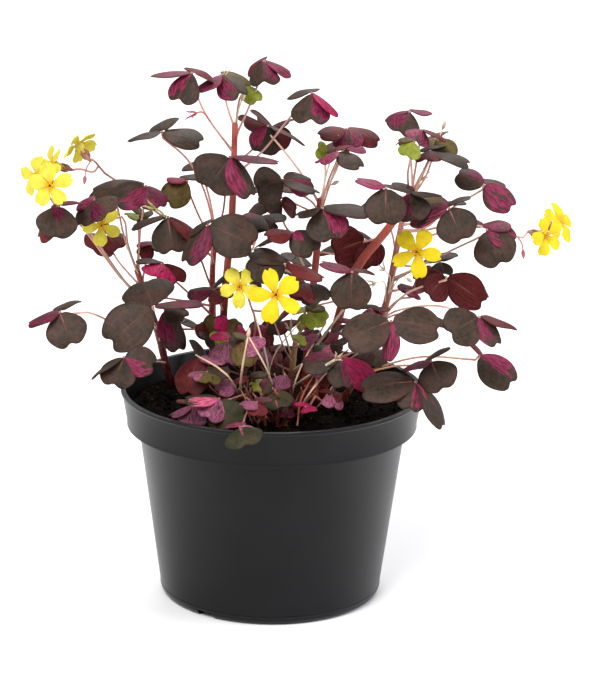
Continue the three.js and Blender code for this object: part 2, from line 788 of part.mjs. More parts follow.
function solid(geometry) {
  const bare = geometry.index ? geometry.toNonIndexed() : geometry.clone();
  bare.deleteAttribute("normal");
  bare.deleteAttribute("uv");
  const merged = mergeVertices(bare, 1e-4);
  return new wasm.Manifold(new wasm.Mesh({
    numProp: 3,
    vertProperties: new Float32Array(merged.attributes.position.array),
    triVerts: new Uint32Array(merged.index.array),
  }));
}

function shell(points, faces) {
  const geometry = new THREE.BufferGeometry();
  geometry.setAttribute("position", new THREE.Float32BufferAttribute(points.flatMap((p) => p.toArray()), 3));
  geometry.setIndex(faces.flat());
  return solid(geometry);
}

function named(name, manifold, colour, roughness) {
  const { vertProperties, triVerts } = manifold.getMesh();
  const geometry = new THREE.BufferGeometry();
  geometry.setAttribute("position", new THREE.Float32BufferAttribute(vertProperties, 3));
  geometry.setIndex(Array.from(triVerts));
  geometry.computeVertexNormals();
  const material = new THREE.MeshStandardMaterial({ color: colour, roughness, metalness: 0 });
  const mesh = new THREE.Mesh(geometry, material);
  mesh.name = name;
  return mesh;
}

// Places in the picture

function at([across, down, toward]) {
  const x = across - PICTURE_CENTRE[0];
  const y = down - PICTURE_CENTRE[1];
  const roll = radians(ROLL);
  const pitch = radians(PITCH);
  const right = (x * Math.cos(roll) + y * Math.sin(roll)) / FOCAL_PIXELS;
  const below = (y * Math.cos(roll) - x * Math.sin(roll)) / FOCAL_PIXELS;
  const sight = new THREE.Vector3(
    right,
    Math.cos(pitch) - below * Math.sin(pitch),
    -Math.sin(pitch) - below * Math.cos(pitch),
  );
  return EYE.clone().addScaledVector(sight, (-toward - EYE.y) / sight.y);
}

function curveThrough(places) {
  return new THREE.CatmullRomCurve3(places, false, "centripetal");
}

function tangentAt(points, i) {
  const before = points[Math.max(i - 1, 0)];
  const after = points[Math.min(i + 1, points.length - 1)];
  return after.clone().sub(before).normalize();
}

function spokesAround(axis, angles) {
  const first = new THREE.Vector3(0, 1, 0.01).cross(axis).normalize();
  return angles.map((angle) => first.clone().applyAxisAngle(axis, angle));
}

function evenAngles(count, start = 0) {
  return Array.from({ length: count }, (_, i) => start + (2 * Math.PI * i) / count);
}

// The walls between one ring of points and the next one, and the lid on an end ring. Rings run
// counterclockwise as seen from their far end.
function wallFaces(from, to, sides) {
  const faces = [];
  for (let k = 0; k < sides; k += 1) {
    const next = (k + 1) % sides;
    faces.push([from + k, from + next, to + next], [from + k, to + next, to + k]);
  }
  return faces;
}

function lidFaces(ring, sides) {
  return Array.from({ length: sides - 2 }, (_, k) => [ring, ring + k + 1, ring + k + 2]);
}

const flipped = ([a, b, c]) => [a, c, b];

// Rings round the points of a path, each turned from the one before with the path
function ringsAlong(points, radii, firstSpokes) {
  let spokes = firstSpokes;
  let tangent = tangentAt(points, 0);
  return points.flatMap((point, i) => {
    const turned = new THREE.Quaternion().setFromUnitVectors(tangent, tangentAt(points, i));
    tangent = tangentAt(points, i);
    spokes = spokes.map((spoke) => spoke.clone().applyQuaternion(turned));
    return spokes.map((spoke) => point.clone().addScaledVector(spoke, radii[i]));
  });
}

function tube(points, radii, sides) {
  const rings = ringsAlong(points, radii, spokesAround(tangentAt(points, 0), evenAngles(sides)));
  const faces = lidFaces(0, sides).map(flipped);
  for (let i = 1; i < points.length; i += 1) {
    faces.push(...wallFaces((i - 1) * sides, i * sides, sides));
  }
  faces.push(...lidFaces((points.length - 1) * sides, sides));
  return shell(rings, faces);
}

// The stem's curve above the soil; its foot stands upright in the soil
function stemCurve(stem) {
  return curveThrough(stem.route.map(at));
}

function stemFoot(stem) {
  return at(stem.route[0]).setZ(SOIL_TOP + FOOT_RISE);
}

function stemSolid(stem) {
  const foot = stemFoot(stem);
  const root = foot.clone().setZ(SOIL_TOP - ROOT_DEPTH);
  const above = stemCurve(stem).getSpacedPoints(STEM_STEPS).filter((point) => point.z > foot.z + FOOT_CLEAR);
  const points = [root, foot, ...above];
  const [thickFoot, thickTop] = stem.thick;
  const radii = points.map((_, i) => THREE.MathUtils.lerp(thickFoot, thickTop, i / (points.length - 1)) / 2);
  return tube(points, radii, STEM_SIDES);
}

function stalkPoints(start, past, end) {
  const steps = past.length > 1 ? STALK_STEPS_BENT : STALK_STEPS;
  return curveThrough([start, ...past.map(at), end]).getSpacedPoints(steps);
}

// Blades: leaflets and petals, arched along their length and folded along their midrib

function halfWidth(shape, along) {
  if (along < shape.widest) {
    return 0.5 * Math.sin((Math.PI / 2) * (along / shape.widest)) ** shape.taper;
  }
  return 0.5 * Math.cos(radians(shape.endAngle) * ((along - shape.widest) / (1 - shape.widest)));
}

function reach(shape, across) {
  const notch = shape.notch * Math.exp(-((across / shape.notchSpread) ** 2));
  return 1 - notch - shape.shoulder * Math.abs(across) ** 3;
}

function bladePoint(blade, u, v) {
  const x = u * halfWidth(blade.shape, v) * blade.width;
  const y = v * reach(blade.shape, u);
  const arch = blade.shape.arch * blade.length * 4 * y * (1 - y);
  return blade.hub.clone()
    .addScaledVector(blade.along, y * blade.length)
    .addScaledVector(blade.side, x * Math.cos(blade.fold))
    .addScaledVector(blade.normal, arch - Math.abs(x) * Math.sin(blade.fold));
}

// A leaflet's normal leans from the viewer up to the sky by its turn
function leaflet(hubPlace, [across, down, toward, turn, width, fold]) {
  const hub = at(hubPlace);
  const tip = at([across, down, hubPlace[2] + toward]);
  const along = tip.clone().sub(hub).normalize();
  const facing = EYE.clone().sub(hub).normalize();
  facing.addScaledVector(along, -facing.dot(along)).normalize();
  const upward = along.clone().cross(facing);
  if (upward.z < 0) {
    upward.negate();
  }
  const lean = radians(turn);
  const normal = facing.multiplyScalar(Math.cos(lean)).addScaledVector(upward, Math.sin(lean));
  const side = along.clone().cross(normal);
  const shape = width < SMALL_WIDTH ? SMALL_LEAFLET : LEAFLET;
  return { shape, hub, along, normal, side, length: tip.distanceTo(hub), width, fold: radians(fold) };
}

function petal(bloom, turn) {
  const hub = at(bloom.throat);
  const axis = bloomAxis(bloom);
  const out = new THREE.Vector3().crossVectors(axis, UP).normalize().applyAxisAngle(axis, turn);
  const opened = radians(bloom.opened);
  const along = out.clone().multiplyScalar(Math.sin(opened)).addScaledVector(axis, Math.cos(opened));
  const side = out.clone().cross(axis);
  const normal = side.clone().cross(along);
  const length = bloom.petal;
  return { shape: PETAL, hub, along, normal, side, length, width: PETAL_WIDTH * length, fold: 0 };
}

// Adds a blade that grows from one side of its hub: a fan of faces above and below, walls round its edge
function addBlade(points, faces, blade, top, low) {
  const { half } = blade.shape;
  const sheet = [
    bladePoint(blade, 0, blade.shape.middle),
    ...half.map(([u, v]) => bladePoint(blade, u, v)),
    bladePoint(blade, 0, 1),
    ...half.toReversed().map(([u, v]) => bladePoint(blade, -u, v)),
  ];
  const offset = blade.normal.clone().multiplyScalar(BLADE_THICK / 2 / Math.cos(blade.fold));
  const over = points.length;
  const under = over + sheet.length;
  points.push(...sheet.map((point) => point.clone().add(offset)));
  points.push(...sheet.map((point) => point.clone().sub(offset)));
  const edge = sheet.slice(1).map((_, i) => i + 1);
  const upper = [top[0], ...edge.map((i) => over + i), top[1]];
  const lower = [low[0], ...edge.map((i) => under + i), low[1]];
  upper.forEach((point, i) => {
    const next = (i + 1) % upper.length;
    faces.push([over, point, upper[next]], [under, lower[next], lower[i]]);
    if (next > 0) {
      faces.push([upper[next], point, lower[i]], [upper[next], lower[i], lower[next]]);
    }
  });
}

// Blades round a hub on its stalk, as one closed body. The hub is a short post with a corner between
// each two blades, and one more where they leave a wide gap. Its top dips to its middle in a bloom.
function rosette(hub, axis, blades, radius, dip, stalk, stalkRadii) {
  const [right] = spokesAround(axis, [0]);
  const ahead = axis.clone().cross(right);
  const sorted = blades
    .map((blade) => ({ blade, angle: Math.atan2(blade.along.dot(ahead), blade.along.dot(right)) }))
    .sort((p, q) => p.angle - q.angle);

  const corners = [];
  const sides = [];
  sorted.forEach(({ blade, angle }, i) => {
    const next = i + 1 < sorted.length ? sorted[i + 1].angle : sorted[0].angle + 2 * Math.PI;
    const parts = Math.ceil((next - angle) / radians(WIDE_GAP));
    for (let k = 0; k < parts; k += 1) {
      corners.push(angle + ((next - angle) * (k + 0.5)) / parts);
      sides.push(k === 0 ? blade : null);
    }
  });

  const count = corners.length;
  const turned = corners.reduce((sum, angle, k) => sum + angle - (2 * Math.PI * k) / count, 0) / count;
  const posts = spokesAround(axis, corners).map((spoke) => spoke.multiplyScalar(radius).add(hub));
  const spokes = spokesAround(axis, evenAngles(count, turned));
  const rings = ringsAlong([hub, ...stalk], [radius, ...stalkRadii], spokes).slice(count);
  const points = [
    ...posts.map((post) => post.clone().addScaledVector(axis, HUB_HALF_HEIGHT)),
    ...posts.map((post) => post.clone().addScaledVector(axis, -HUB_HALF_HEIGHT)),
    ...rings,
    hub.clone().addScaledVector(axis, HUB_HALF_HEIGHT - dip),
  ];
  const centre = points.length - 1;
  const faces = [];
  sides.forEach((blade, k) => {
    const before = (k + count - 1) % count;
    faces.push([before, k, centre]);
    if (blade) {
      addBlade(points, faces, blade, [before, k], [before + count, k + count]);
    } else {
      faces.push([before + count, k + count, k], [before + count, k, before]);
    }
  });
  for (let i = 1; i <= stalk.length; i += 1) {
    faces.push(...wallFaces((i + 1) * count, i * count, count));
  }
  faces.push(...lidFaces((stalk.length + 1) * count, count).map(flipped));
  return shell(points, faces);
}

function leafSolid(stem, leaf) {
  const hub = at(leaf.hub);
  const blades = leaf.blades.map((blade) => leaflet(leaf.hub, blade));
  const axis = blades.reduce((sum, blade) => sum.add(blade.normal), new THREE.Vector3()).normalize();
  const neck = hub.clone().addScaledVector(axis, -HUB_NECK);
  const start = stemCurve(stem).getPointAt(leaf.from);
  const stalk = stalkPoints(start, leaf.past ?? [], neck).reverse();
  const last = stalk.length - 1;
  const radii = stalk.map((_, i) => THREE.MathUtils.lerp(STALK_RADIUS_TOP, STALK_RADIUS_FOOT, i / last));
  return rosette(hub, axis, blades, HUB_RADIUS, 0, stalk, radii);
}

// A bloom stands on the flat top of its calyx, which its stalk carries

function bloomAxis(bloom) {
  return at(bloom.ahead).sub(at(bloom.throat)).normalize();
}

function calyxTop(bloom) {
  return at(bloom.throat).addScaledVector(bloomAxis(bloom), -TUBE_LENGTH - BLOOM_GAP);
}

// A bloom's stalk leaves its stem, or another bloom's stalk at one of its steps
function pedicelPoints(bloom) {
  const start = bloom.fork
    ? pedicelPoints(BLOOMS[bloom.fork])[bloom.step]
    : stemCurve(STEMS[bloom.stem]).getPointAt(bloom.from);
  return stalkPoints(start, bloom.past, calyxTop(bloom).addScaledVector(bloomAxis(bloom), -CALYX_LENGTH));
}

function calyxSolid(bloom) {
  const top = calyxTop(bloom);
  const stalk = pedicelPoints(bloom);
  return tube([...stalk, top], [...stalk.map(() => PEDICEL_RADIUS), CALYX_RADIUS], PEDICEL_SIDES);
}

function bloomSolid(bloom) {
  const hub = at(bloom.throat);
  const axis = bloomAxis(bloom);
  const petals = evenAngles(PETAL_COUNT, radians(bloom.spin)).map((turn) => petal(bloom, turn));
  const foot = hub.clone().addScaledVector(axis, -TUBE_LENGTH);
  return rosette(hub, axis, petals, THROAT_RADIUS, THROAT_DEPTH, [foot], [TUBE_FOOT_RADIUS]);
}

// Pot: one moulded shell, with drain notches round its foot

function potSolid() {
  const step = POT_HEIGHT - BAND_HEIGHT;
  const corner = [];
  for (let i = 0; i <= BASE_CORNER_STEPS; i += 1) {
    const angle = (Math.PI / 2) * (i / BASE_CORNER_STEPS);
    corner.push([
      BASE_RADIUS - BASE_CORNER + BASE_CORNER * Math.sin(angle),
      BASE_CORNER - BASE_CORNER * Math.cos(angle),
    ]);
  }
  const profile = [
    [0, 0],
    ...corner,
    [BODY_TOP_RADIUS, step],
    [BAND_FOOT_RADIUS, step],
    [RIM_RADIUS - LIP_STEP, POT_HEIGHT - LIP_HEIGHT],
    [RIM_RADIUS, POT_HEIGHT - LIP_STEP * LIP_HEIGHT],
    [RIM_RADIUS, POT_HEIGHT],
    [RIM_RADIUS - LIP_WIDTH, POT_HEIGHT],
    [BAND_FOOT_RADIUS - WALL, step + WALL],
    [BODY_TOP_RADIUS - WALL, step + WALL],
    [BASE_RADIUS - WALL, BASE_CORNER],
    [BASE_RADIUS - WALL - 1, FLOOR],
    [0, FLOOR],
  ];
  const lathe = new THREE.LatheGeometry(profile.map(([r, z]) => new THREE.Vector2(r, z)), POT_SIDES);
  const body = solid(lathe.rotateX(Math.PI / 2));
  const cuts = [];
  for (let k = 0; k < NOTCH_COUNT; k += 1) {
    const angle = radians(NOTCH_ANGLE + (360 * k) / NOTCH_COUNT);
    const cut = new THREE.BoxGeometry(NOTCH_DEPTH, NOTCH_WIDTH, 2 * NOTCH_HEIGHT);
    cut.translate(BASE_RADIUS, 0, 0).rotateZ(angle);
    cuts.push(solid(cut));
  }
  return body.subtract(wasm.Manifold.union(cuts));
}

// Soil: fills the pot just clear of its wall, with an uneven top

function soilBump(x, y) {
  const broad = Math.sin(0.21 * x + 0.5) * Math.cos(0.17 * y);
  const slanting = Math.sin(0.43 * x - 0.37 * y);
  return (SOIL_BUMP / 2) * (broad + slanting);
}

function soilSolid() {
  const step = POT_HEIGHT - BAND_HEIGHT;
  const bodyRadius = (z) => THREE.MathUtils.lerp(BASE_RADIUS, BODY_TOP_RADIUS, z / step) - WALL - SOIL_GAP;
  const top = BAND_FOOT_RADIUS - WALL - SOIL_GAP;
  const bottom = FLOOR + SOIL_GAP;
  const shelf = step + WALL + SOIL_GAP;
  const profile = [
    [0, bottom],
    [bodyRadius(0) - 1, bottom],
    [bodyRadius(shelf), shelf],
    [top, shelf],
    [top + 0.6, SOIL_TOP],
  ];
  for (let i = 1; i <= SOIL_RINGS; i += 1) {
    profile.push([top * (1 - i / SOIL_RINGS), SOIL_TOP]);
  }
  const lathe = new THREE.LatheGeometry(profile.map(([r, z]) => new THREE.Vector2(r, z)), SOIL_SIDES);
  lathe.rotateX(Math.PI / 2);
  const position = lathe.attributes.position;
  for (let i = 0; i < position.count; i += 1) {
    const x = position.getX(i);
    const y = position.getY(i);
    if (position.getZ(i) > SOIL_TOP - 0.01 && Math.hypot(x, y) < top) {
      position.setZ(i, SOIL_TOP + soilBump(x, y));
    }
  }
  const holes = Object.values(STEMS).map((stem) => {
    const foot = stemFoot(stem);
    const radius = (stem.thick[0] / 2 + HOLE_GAP) / Math.cos(Math.PI / HOLE_SIDES);
    const hole = new THREE.CylinderGeometry(radius, radius, 2 * ROOT_DEPTH, HOLE_SIDES).rotateX(Math.PI / 2);
    return solid(hole.translate(foot.x, foot.y, SOIL_TOP - SOIL_GAP));
  });
  return solid(lathe).subtract(wasm.Manifold.union(holes));
}

const plant = new THREE.Group();
plant.add(named("pot", potSolid(), POT_COLOUR, 0.45));
plant.add(named("soil", soilSolid(), SOIL_COLOUR, 0.95));

for (const [name, stem] of Object.entries(STEMS)) {
  const blooms = Object.values(BLOOMS).filter((bloom) => bloom.stem === name);
  const pieces = [
    stemSolid(stem),
    ...stem.leaves.map((leaf) => leafSolid(stem, leaf)),
    ...blooms.map((bloom) => calyxSolid(bloom)),
  ];
  plant.add(named(name, wasm.Manifold.union(pieces).simplify(JOIN_TOLERANCE), LEAF_COLOUR, 0.55));
}

for (const [name, bloom] of Object.entries(BLOOMS)) {
  plant.add(named(name, bloomSolid(bloom), PETAL_COLOUR, 0.6));
}

export default plant;
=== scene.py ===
# A dark-leaved wood sorrel with yellow flowers, in its round black nursery pot.
# Pieces are made in millimetres and finished in metres, with +Z up. The origin is the centre of the
# pot's flat underside. The viewer stands on the -Y side and looks along +Y, a little downward.

import math
import random

import bmesh
import bpy
from mathutils import Matrix, Vector, noise


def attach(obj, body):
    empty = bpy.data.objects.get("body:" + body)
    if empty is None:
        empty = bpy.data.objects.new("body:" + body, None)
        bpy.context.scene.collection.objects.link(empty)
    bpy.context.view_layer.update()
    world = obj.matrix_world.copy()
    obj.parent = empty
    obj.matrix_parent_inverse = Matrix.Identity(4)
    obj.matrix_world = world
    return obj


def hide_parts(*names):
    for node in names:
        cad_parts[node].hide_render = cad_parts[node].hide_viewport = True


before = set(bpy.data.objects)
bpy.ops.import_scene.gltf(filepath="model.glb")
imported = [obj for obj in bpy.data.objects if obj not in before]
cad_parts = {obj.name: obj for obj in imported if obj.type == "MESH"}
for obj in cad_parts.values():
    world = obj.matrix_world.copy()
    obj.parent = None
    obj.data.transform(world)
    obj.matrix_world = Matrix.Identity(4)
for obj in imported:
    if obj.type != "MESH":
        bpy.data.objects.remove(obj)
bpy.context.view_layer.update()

MM = 0.001
UP = Vector((0, 0, 1))
chance = random.Random(11)


def colour(red, green, blue):
    """A paint colour from 0 to 255 as the shader's linear one."""
    shares = [value / 255 for value in (red, green, blue)]
    linear = [s / 12.92 if s <= 0.04045 else ((s + 0.055) / 1.055) ** 2.4 for s in shares]
    return (*linear, 1)


# Pot
POT_HEIGHT = 84
RIM_RADIUS = 60
BAND_HEIGHT = 14.5
BAND_FOOT_RADIUS = 57.3
BODY_TOP_RADIUS = 53
BASE_RADIUS = 44
BASE_CORNER = 3
BASE_CORNER_STEPS = 6
WALL = 1.2
FLOOR = 2
LIP_HEIGHT = 1.6
LIP_WIDTH = 2
LIP_STEP = 0.6
RIDGE = 0.22
POT_STEPS = 144
NOTCH_COUNT = 3
NOTCH_ANGLE = 235
NOTCH_WIDTH = 7
NOTCH_HEIGHT = 2.5
NOTCH_DEPTH = 12
SOFT_EDGE = 0.35
SOFT_EDGE_ANGLE = 28

# Soil
SOIL_TOP = 76
SOIL_BUMP = 1.1
SOIL_ROUGH = 0.75
SOIL_DEPTH = 4
SOIL_GAP = 0.6
SOIL_EDGE = BAND_FOOT_RADIUS - WALL - SOIL_GAP
SOIL_TAPER = 0.6
SOIL_RINGS = 46
SOIL_STEPS = 120
CRUMB_COUNT = 420
CRUMB_REACH = 0.97
CRUMB_RADII = (0.35, 1.25)
CRUMB_STRETCHES = (0.7, 1.6)
CRUMB_RISE = 0.2
FIBRE_COUNT = 90
FIBRE_REACH = 0.9
FIBRE_STEPS = 4
FIBRE_LENGTHS = (4, 11)
FIBRE_BENDS = (-0.6, 0.6)
FIBRE_RADII = (0.1, 0.24)
FIBRE_RISE = 0.15
FIBRE_ARCH = 0.5
THREAD_SIDES = 4

# Stems, stalks and leaflets
FOOT_DEPTH = 2
FOOT_RISE = 3
STEM_SIDES = 10
STEM_STEPS = 26
STEM_SWELLS = (0.95, 1.04)
STALK_SIDES = 7
STALK_STEPS = 12
STALK_RADIUS_FOOT = 0.66
STALK_RADIUS_MIDDLE = 0.42
STALK_RADIUS_TOP = 0.52
HUB_NECK = 2.5
STALK_END = 0.4
HUB_RADIUS = 0.7
BLADE_COLUMNS = 6
BLADE_ROWS = 5
BLADE_THICK = 0.5
BLADE_FOOT = 0.03
LEAFLET_LIFT = 0.12
LEAF_RAGGED = 0.005
FOLD_ROUNDING = 1.2
SIDE_RIPPLES = 11
END_RIPPLES = 8
EDGE_WAVES = 2.2
WAVE_SLANT = 0.4
CURVE_STEPS = 120

# Blooms
PETAL_COUNT = 5
PETAL_WIDTH = 0.68
PETAL_THICK = 0.4
PETAL_FOLD = 12
PETAL_RAGGED = 0.03
PETAL_COLUMNS = 10
PETAL_ROWS = 8
PETAL_LINE_COUNT = 6
TUBE_LENGTH = 5
TUBE_FOOT_RADIUS = 1.1
THROAT_RADIUS = 2.2
CALYX_LENGTH = 4
CALYX_RADIUS = 1.45
PEDICEL_RADIUS = 0.45
PEDICEL_STEPS = 5
BLOOM_GAP = 0.3

# A bloom's finer forms. The calyx's cup has its depths under its top and its shares of the calyx's
# radius. A sepal has its places ahead of the calyx's top and aside from its axis, and so has a stamen
# from the petals' hub, with a short or a long tip in turn. The funnel, whose end turns back down into
# its mouth, has its places ahead of the petals' hub, each with its radius.
CUP_DEPTHS = (2.4, 1, 0)
CUP_SWELLS = (0.7, 1, 0.9)
SEPAL_BEND = [(-1.8, 1.05), (-0.4, 1.4), (1, 1.5), (2, 1.4)]
SEPAL_RADII = [0.35, 0.45, 0.34, 0.08]
FUNNEL_SIDES = 12
FUNNEL = [
    (-TUBE_LENGTH, TUBE_FOOT_RADIUS),
    (-2, 1.4),
    (-0.1, THROAT_RADIUS),
    (0.15, THROAT_RADIUS - 0.2),
    (-0.5, 1.2),
    (-1.6, 0.5),
]
STAMEN_COUNT = 8
STAMEN_BEND = [(-1.4, 0.3), (0, 0.6)]
STAMEN_TIPS = [(0.7, 0.75), (1.6, 0.75)]
STAMEN_RADII = [0.14, 0.12, 0.12]
ANTHER_RADIUS = 0.3

# What differs from one leaflet or petal to the next
LEAF_NOTCHES = (0.06, 0.16)
LEAF_SHOULDERS = (0.05, 0.1)
LEAF_WAVES = (0.15, 0.5)
LEAF_TWISTS = (-0.2, 0.2)
LEAF_DROOPS = (0, 0.04)
PETAL_ENDS = (36, 54)
PETAL_LENGTHS = (0.92, 1.04)
PETAL_WIDTHS = (0.84, 1.06)
PETAL_WAVES = (0.3, 0.8)
PETAL_TWISTS = (-0.6, 0.6)
PETAL_DROOPS = (0.0, 0.22)
PHASES = (0, 2)
SEEDS = (0, 90)

# Colours of the pot, the soil and the blooms
POT_BLACK = colour(12, 12, 14)
POT_FLOW_BLACK = colour(17, 17, 19)
# The soil's blacks: dark peat, darkened further as painted shade of the rim's shadow
SOIL_BLACK_AND_RIM_SHADE = colour(4, 3, 2)
SOIL_LUMP_BLACK_AND_RIM_SHADE = colour(13, 11, 6)
SOIL_BROWNS = [colour(48, 34, 25), colour(72, 50, 34), colour(34, 25, 20), colour(96, 70, 48)]
YELLOW = colour(228, 202, 24)
PALE_YELLOW = colour(222, 212, 80)
PETAL_THROAT = colour(222, 172, 18)
PETAL_LINES = colour(170, 100, 24)
PETAL_CLOUD_TINT = colour(238, 234, 196)
PETAL_SILK_TINT = colour(238, 226, 150)
TUBE_PALE = colour(214, 204, 96)
TUBE_DEEP = colour(238, 190, 20)
ANTHER = colour(226, 176, 40)
CALYX_GREEN = colour(150, 120, 70)

# Gloss of the leaves and the pot, and the pot's least and most roughness
LEAF_GLOSS = 0.12
POT_GLOSS = 0.19
POT_ROUGHNESS = (0.25, 0.38)

# Layers of the finishes: where a soft step starts, where it is full, and, where a third number stands,
# the share that it covers there
POT_FLOW = (0.35, 0.7)
SOIL_LUMPS = (0.4, 0.65)
SOIL_GRIT = (0.56, 0.68, 0.85)
STALK_PATCHES = (0.4, 0.7, 0.45)
STALK_GRAIN = (0.5, 0.8, 0.3)
PETAL_CLOUD = (0.35, 0.7, 1.0)
PETAL_SILK = (0.42, 0.66, 0.7)
PETAL_THROAT_END = (0.0, 0.4)
PETAL_LINE_EDGE = (0.75, 1.0)
PETAL_LINE_END = (0.25, 0.52)
LEAF_MOTTLE = (0.35, 0.7, 0.5)
LEAF_CLOUD = (0.42, 0.66, 0.15)
LEAF_EDGE = (0.9, 1.0, 0.5)

# Veins fan out over a leaflet, wander with the noise and fade in places. The midrib ends early. Relief
# is a share of the finish's bump.
LEAF_FAN = 4.6
VEIN_COUNT = 9
VEIN_WANDER = 1.3
VEIN_EDGE = (0.86, 1.0)
VEIN_START = (0.1, 0.4)
VEIN_FADE = (0.3, 0.6)
VEIN_RELIEF = 0.5
MOTTLE_RELIEF = 0.8
MIDRIB_EDGE = (0.02, 0.06)
MIDRIB_END = (0.4, 0.95)

# Splashes lie on one half of a leaflet, in streaks, or round its hub. The level that the noise has to
# pass for a streak falls with the share that streaks cover: its slope, and its start.
HALF_WOBBLE = 0.5
HALF_EDGE = (0.0, 0.04)
HALF_END_WOBBLE = 1.6
HALF_END = (0.74, 0.84)
STREAK_LEVEL = (-0.52, 0.76)
STREAK_EDGE = 0.05
HUB_STREAK_TAPER = 1.9
HUB_STREAK_EDGE = (-0.01, 0.03)
SPLASH_BLOTS = (0.36, 0.66, 0.8)
SPLASH_VEINS = 0.5

# The form of a leaflet and of a petal, apart from what differs from one to the next. A point on a blade
# has its share across, from -1 to 1, and its share along, from 0 at the hub to 1 at the far end.
LEAFLET = {
    "widest": 0.58,
    "taper": 0.6,
    "end_angle": 54,
    "notch_spread": 0.25,
    "arch": 0.06,
}
PETAL = {
    "widest": 0.84,
    "taper": 1.0,
    "notch": 0.07,
    "notch_spread": 0.22,
    "shoulder": 0.12,
    "arch": 0.07,
}

# The viewer's eye and the picture plane that the plant is laid out on: 600 by 700 pixels
EYE = Vector((10.7, -1100, 419))
PITCH = math.radians(16.2)
ROLL = math.radians(0.85)
FOCAL_PIXELS = 2904
PICTURE_CENTRE = (300, 350)
PICTURE_HEIGHT = 700

# Colours of the leaflets
GREY = colour(60, 49, 40)
GREEN_GREY = colour(50, 54, 34)
WINE = colour(94, 30, 32)
DARK_WINE = colour(44, 14, 20)
BROWN = colour(42, 24, 16)
OLIVE = colour(84, 72, 32)
LIME = colour(138, 150, 50)
PINK = colour(142, 50, 82)
HOT_PINK = colour(178, 34, 86)
PALE_PINK = colour(172, 98, 126)
ROSE = colour(206, 96, 128)
RIB = colour(146, 92, 84)
LEAF_MOTTLE_TINT = colour(150, 140, 140)
LEAF_CLOUD_TINT = colour(110, 60, 55)
VEIN_TINT = colour(190, 150, 140)
SPLASH_TINT = colour(150, 120, 140)

# A leaflet's finish: its upper face, its lower face, its splashes, the share that they cover, and the
# width of the streak at its hub
FINISHES = {
    "dark": (GREY, WINE, PINK, 0.1, 0.0),
    "ribbed": (GREY, WINE, RIB, 0.0, 0.1),
    "left": (GREY, WINE, PINK, 0.0, 0.0),
    "right": (GREY, WINE, PINK, 0.0, 0.0),
    "pink": (GREY, PINK, PINK, 0.7, 0.0),
    "hot": (DARK_WINE, HOT_PINK, HOT_PINK, 0.9, 0.0),
    "wine": (WINE, WINE, PINK, 0.12, 0.08),
    "brown": (BROWN, WINE, PINK, 0.1, 0.0),
    "olive": (OLIVE, OLIVE, WINE, 0.3, 0.0),
    "lime": (LIME, LIME, PALE_PINK, 0.15, 0.0),
    "lilac": (GREEN_GREY, PALE_PINK, PALE_PINK, 0.85, 0.0),
    "green": (GREEN_GREY, WINE, ROSE, 0.12, 0.16),
    "spot": (GREY, WINE, PINK, 0.1, 0.75),
    "split": (GREEN_GREY, PALE_PINK, ROSE, 0.1, 0.0),
}

# The half of a leaflet that is splashed as a whole, and what differs in painted light and shade and in cover
HALVES = {"left": -1, "right": 1, "split": 1}
# Painted light and shade: each leaf's faces and its splashes are darkened or lightened at random, as if lit
# more or less
LEAF_PAINTED_LIGHT_SHARES = (0.8, 1.15)
SPLASH_PAINTED_LIGHT_SHARES = (0.5, 1.15)
COVER_SHARES = (0.85, 1.1)

# A stem's colour at its foot and its top, and that of its stalks; the first stand for those not named
STEM_COLOURS = {
    "": (colour(104, 30, 22), colour(170, 76, 62), colour(192, 134, 120)),
    "leafy_stem_tall": (colour(120, 32, 22), colour(190, 90, 76), colour(218, 172, 158)),
    "leafy_stem_left": (colour(74, 20, 16), colour(140, 70, 60), colour(202, 156, 142)),
    "leafy_stem_middle": (colour(128, 30, 24), colour(172, 68, 58), colour(216, 178, 160)),
    "leafy_stem_slanting": (colour(132, 40, 30), colour(198, 100, 84), colour(212, 170, 152)),
    "leafy_stem_right": (colour(136, 54, 46), colour(184, 126, 112), colour(218, 182, 164)),
    "young_shoot": (colour(150, 84, 60), colour(206, 178, 136), colour(206, 172, 134)),
    "tuft_right": (colour(122, 60, 44), colour(184, 136, 108), colour(206, 160, 126)),
    "tuft_left": (colour(110, 44, 38), colour(164, 98, 80), colour(190, 134, 112)),
}
STALK_SHADES = (0.75, 1.4)
STALK_PATCH_TINT = colour(200, 150, 146)
STALK_GRAIN_TINT = colour(226, 190, 170)

# Colours and measures of the bare stalks, their buds and their bracts
BEIGE = colour(226, 196, 166)
STRAW = colour(236, 224, 196)
RUST = colour(172, 96, 76)
MAROON = colour(96, 34, 34)
BUD_GREEN = colour(176, 182, 104)
BUD_PINK = colour(206, 118, 120)
SPRIG_DEPTH = 1.5
SPRIG_SWELLS = (0.6, 0.5, 0.36)
SMALL_SIDES = 5
BUD_LENGTH = 4
BUD_SHARES = (0, 0.3, 0.65, 1)
BUD_RADII = [0.35, 0.8, 0.7, 0.15]
BRACT_COUNT = 4
BRACT_LENGTH = 5
BRACT_LENGTHS = (0.6, 1.1)
BRACT_BEND = [(0, 0), (0.4, 0.22), (0.8, 0.32), (1, 0.55)]
BRACT_RADII = [0.3, 0.42, 0.3, 0.06]

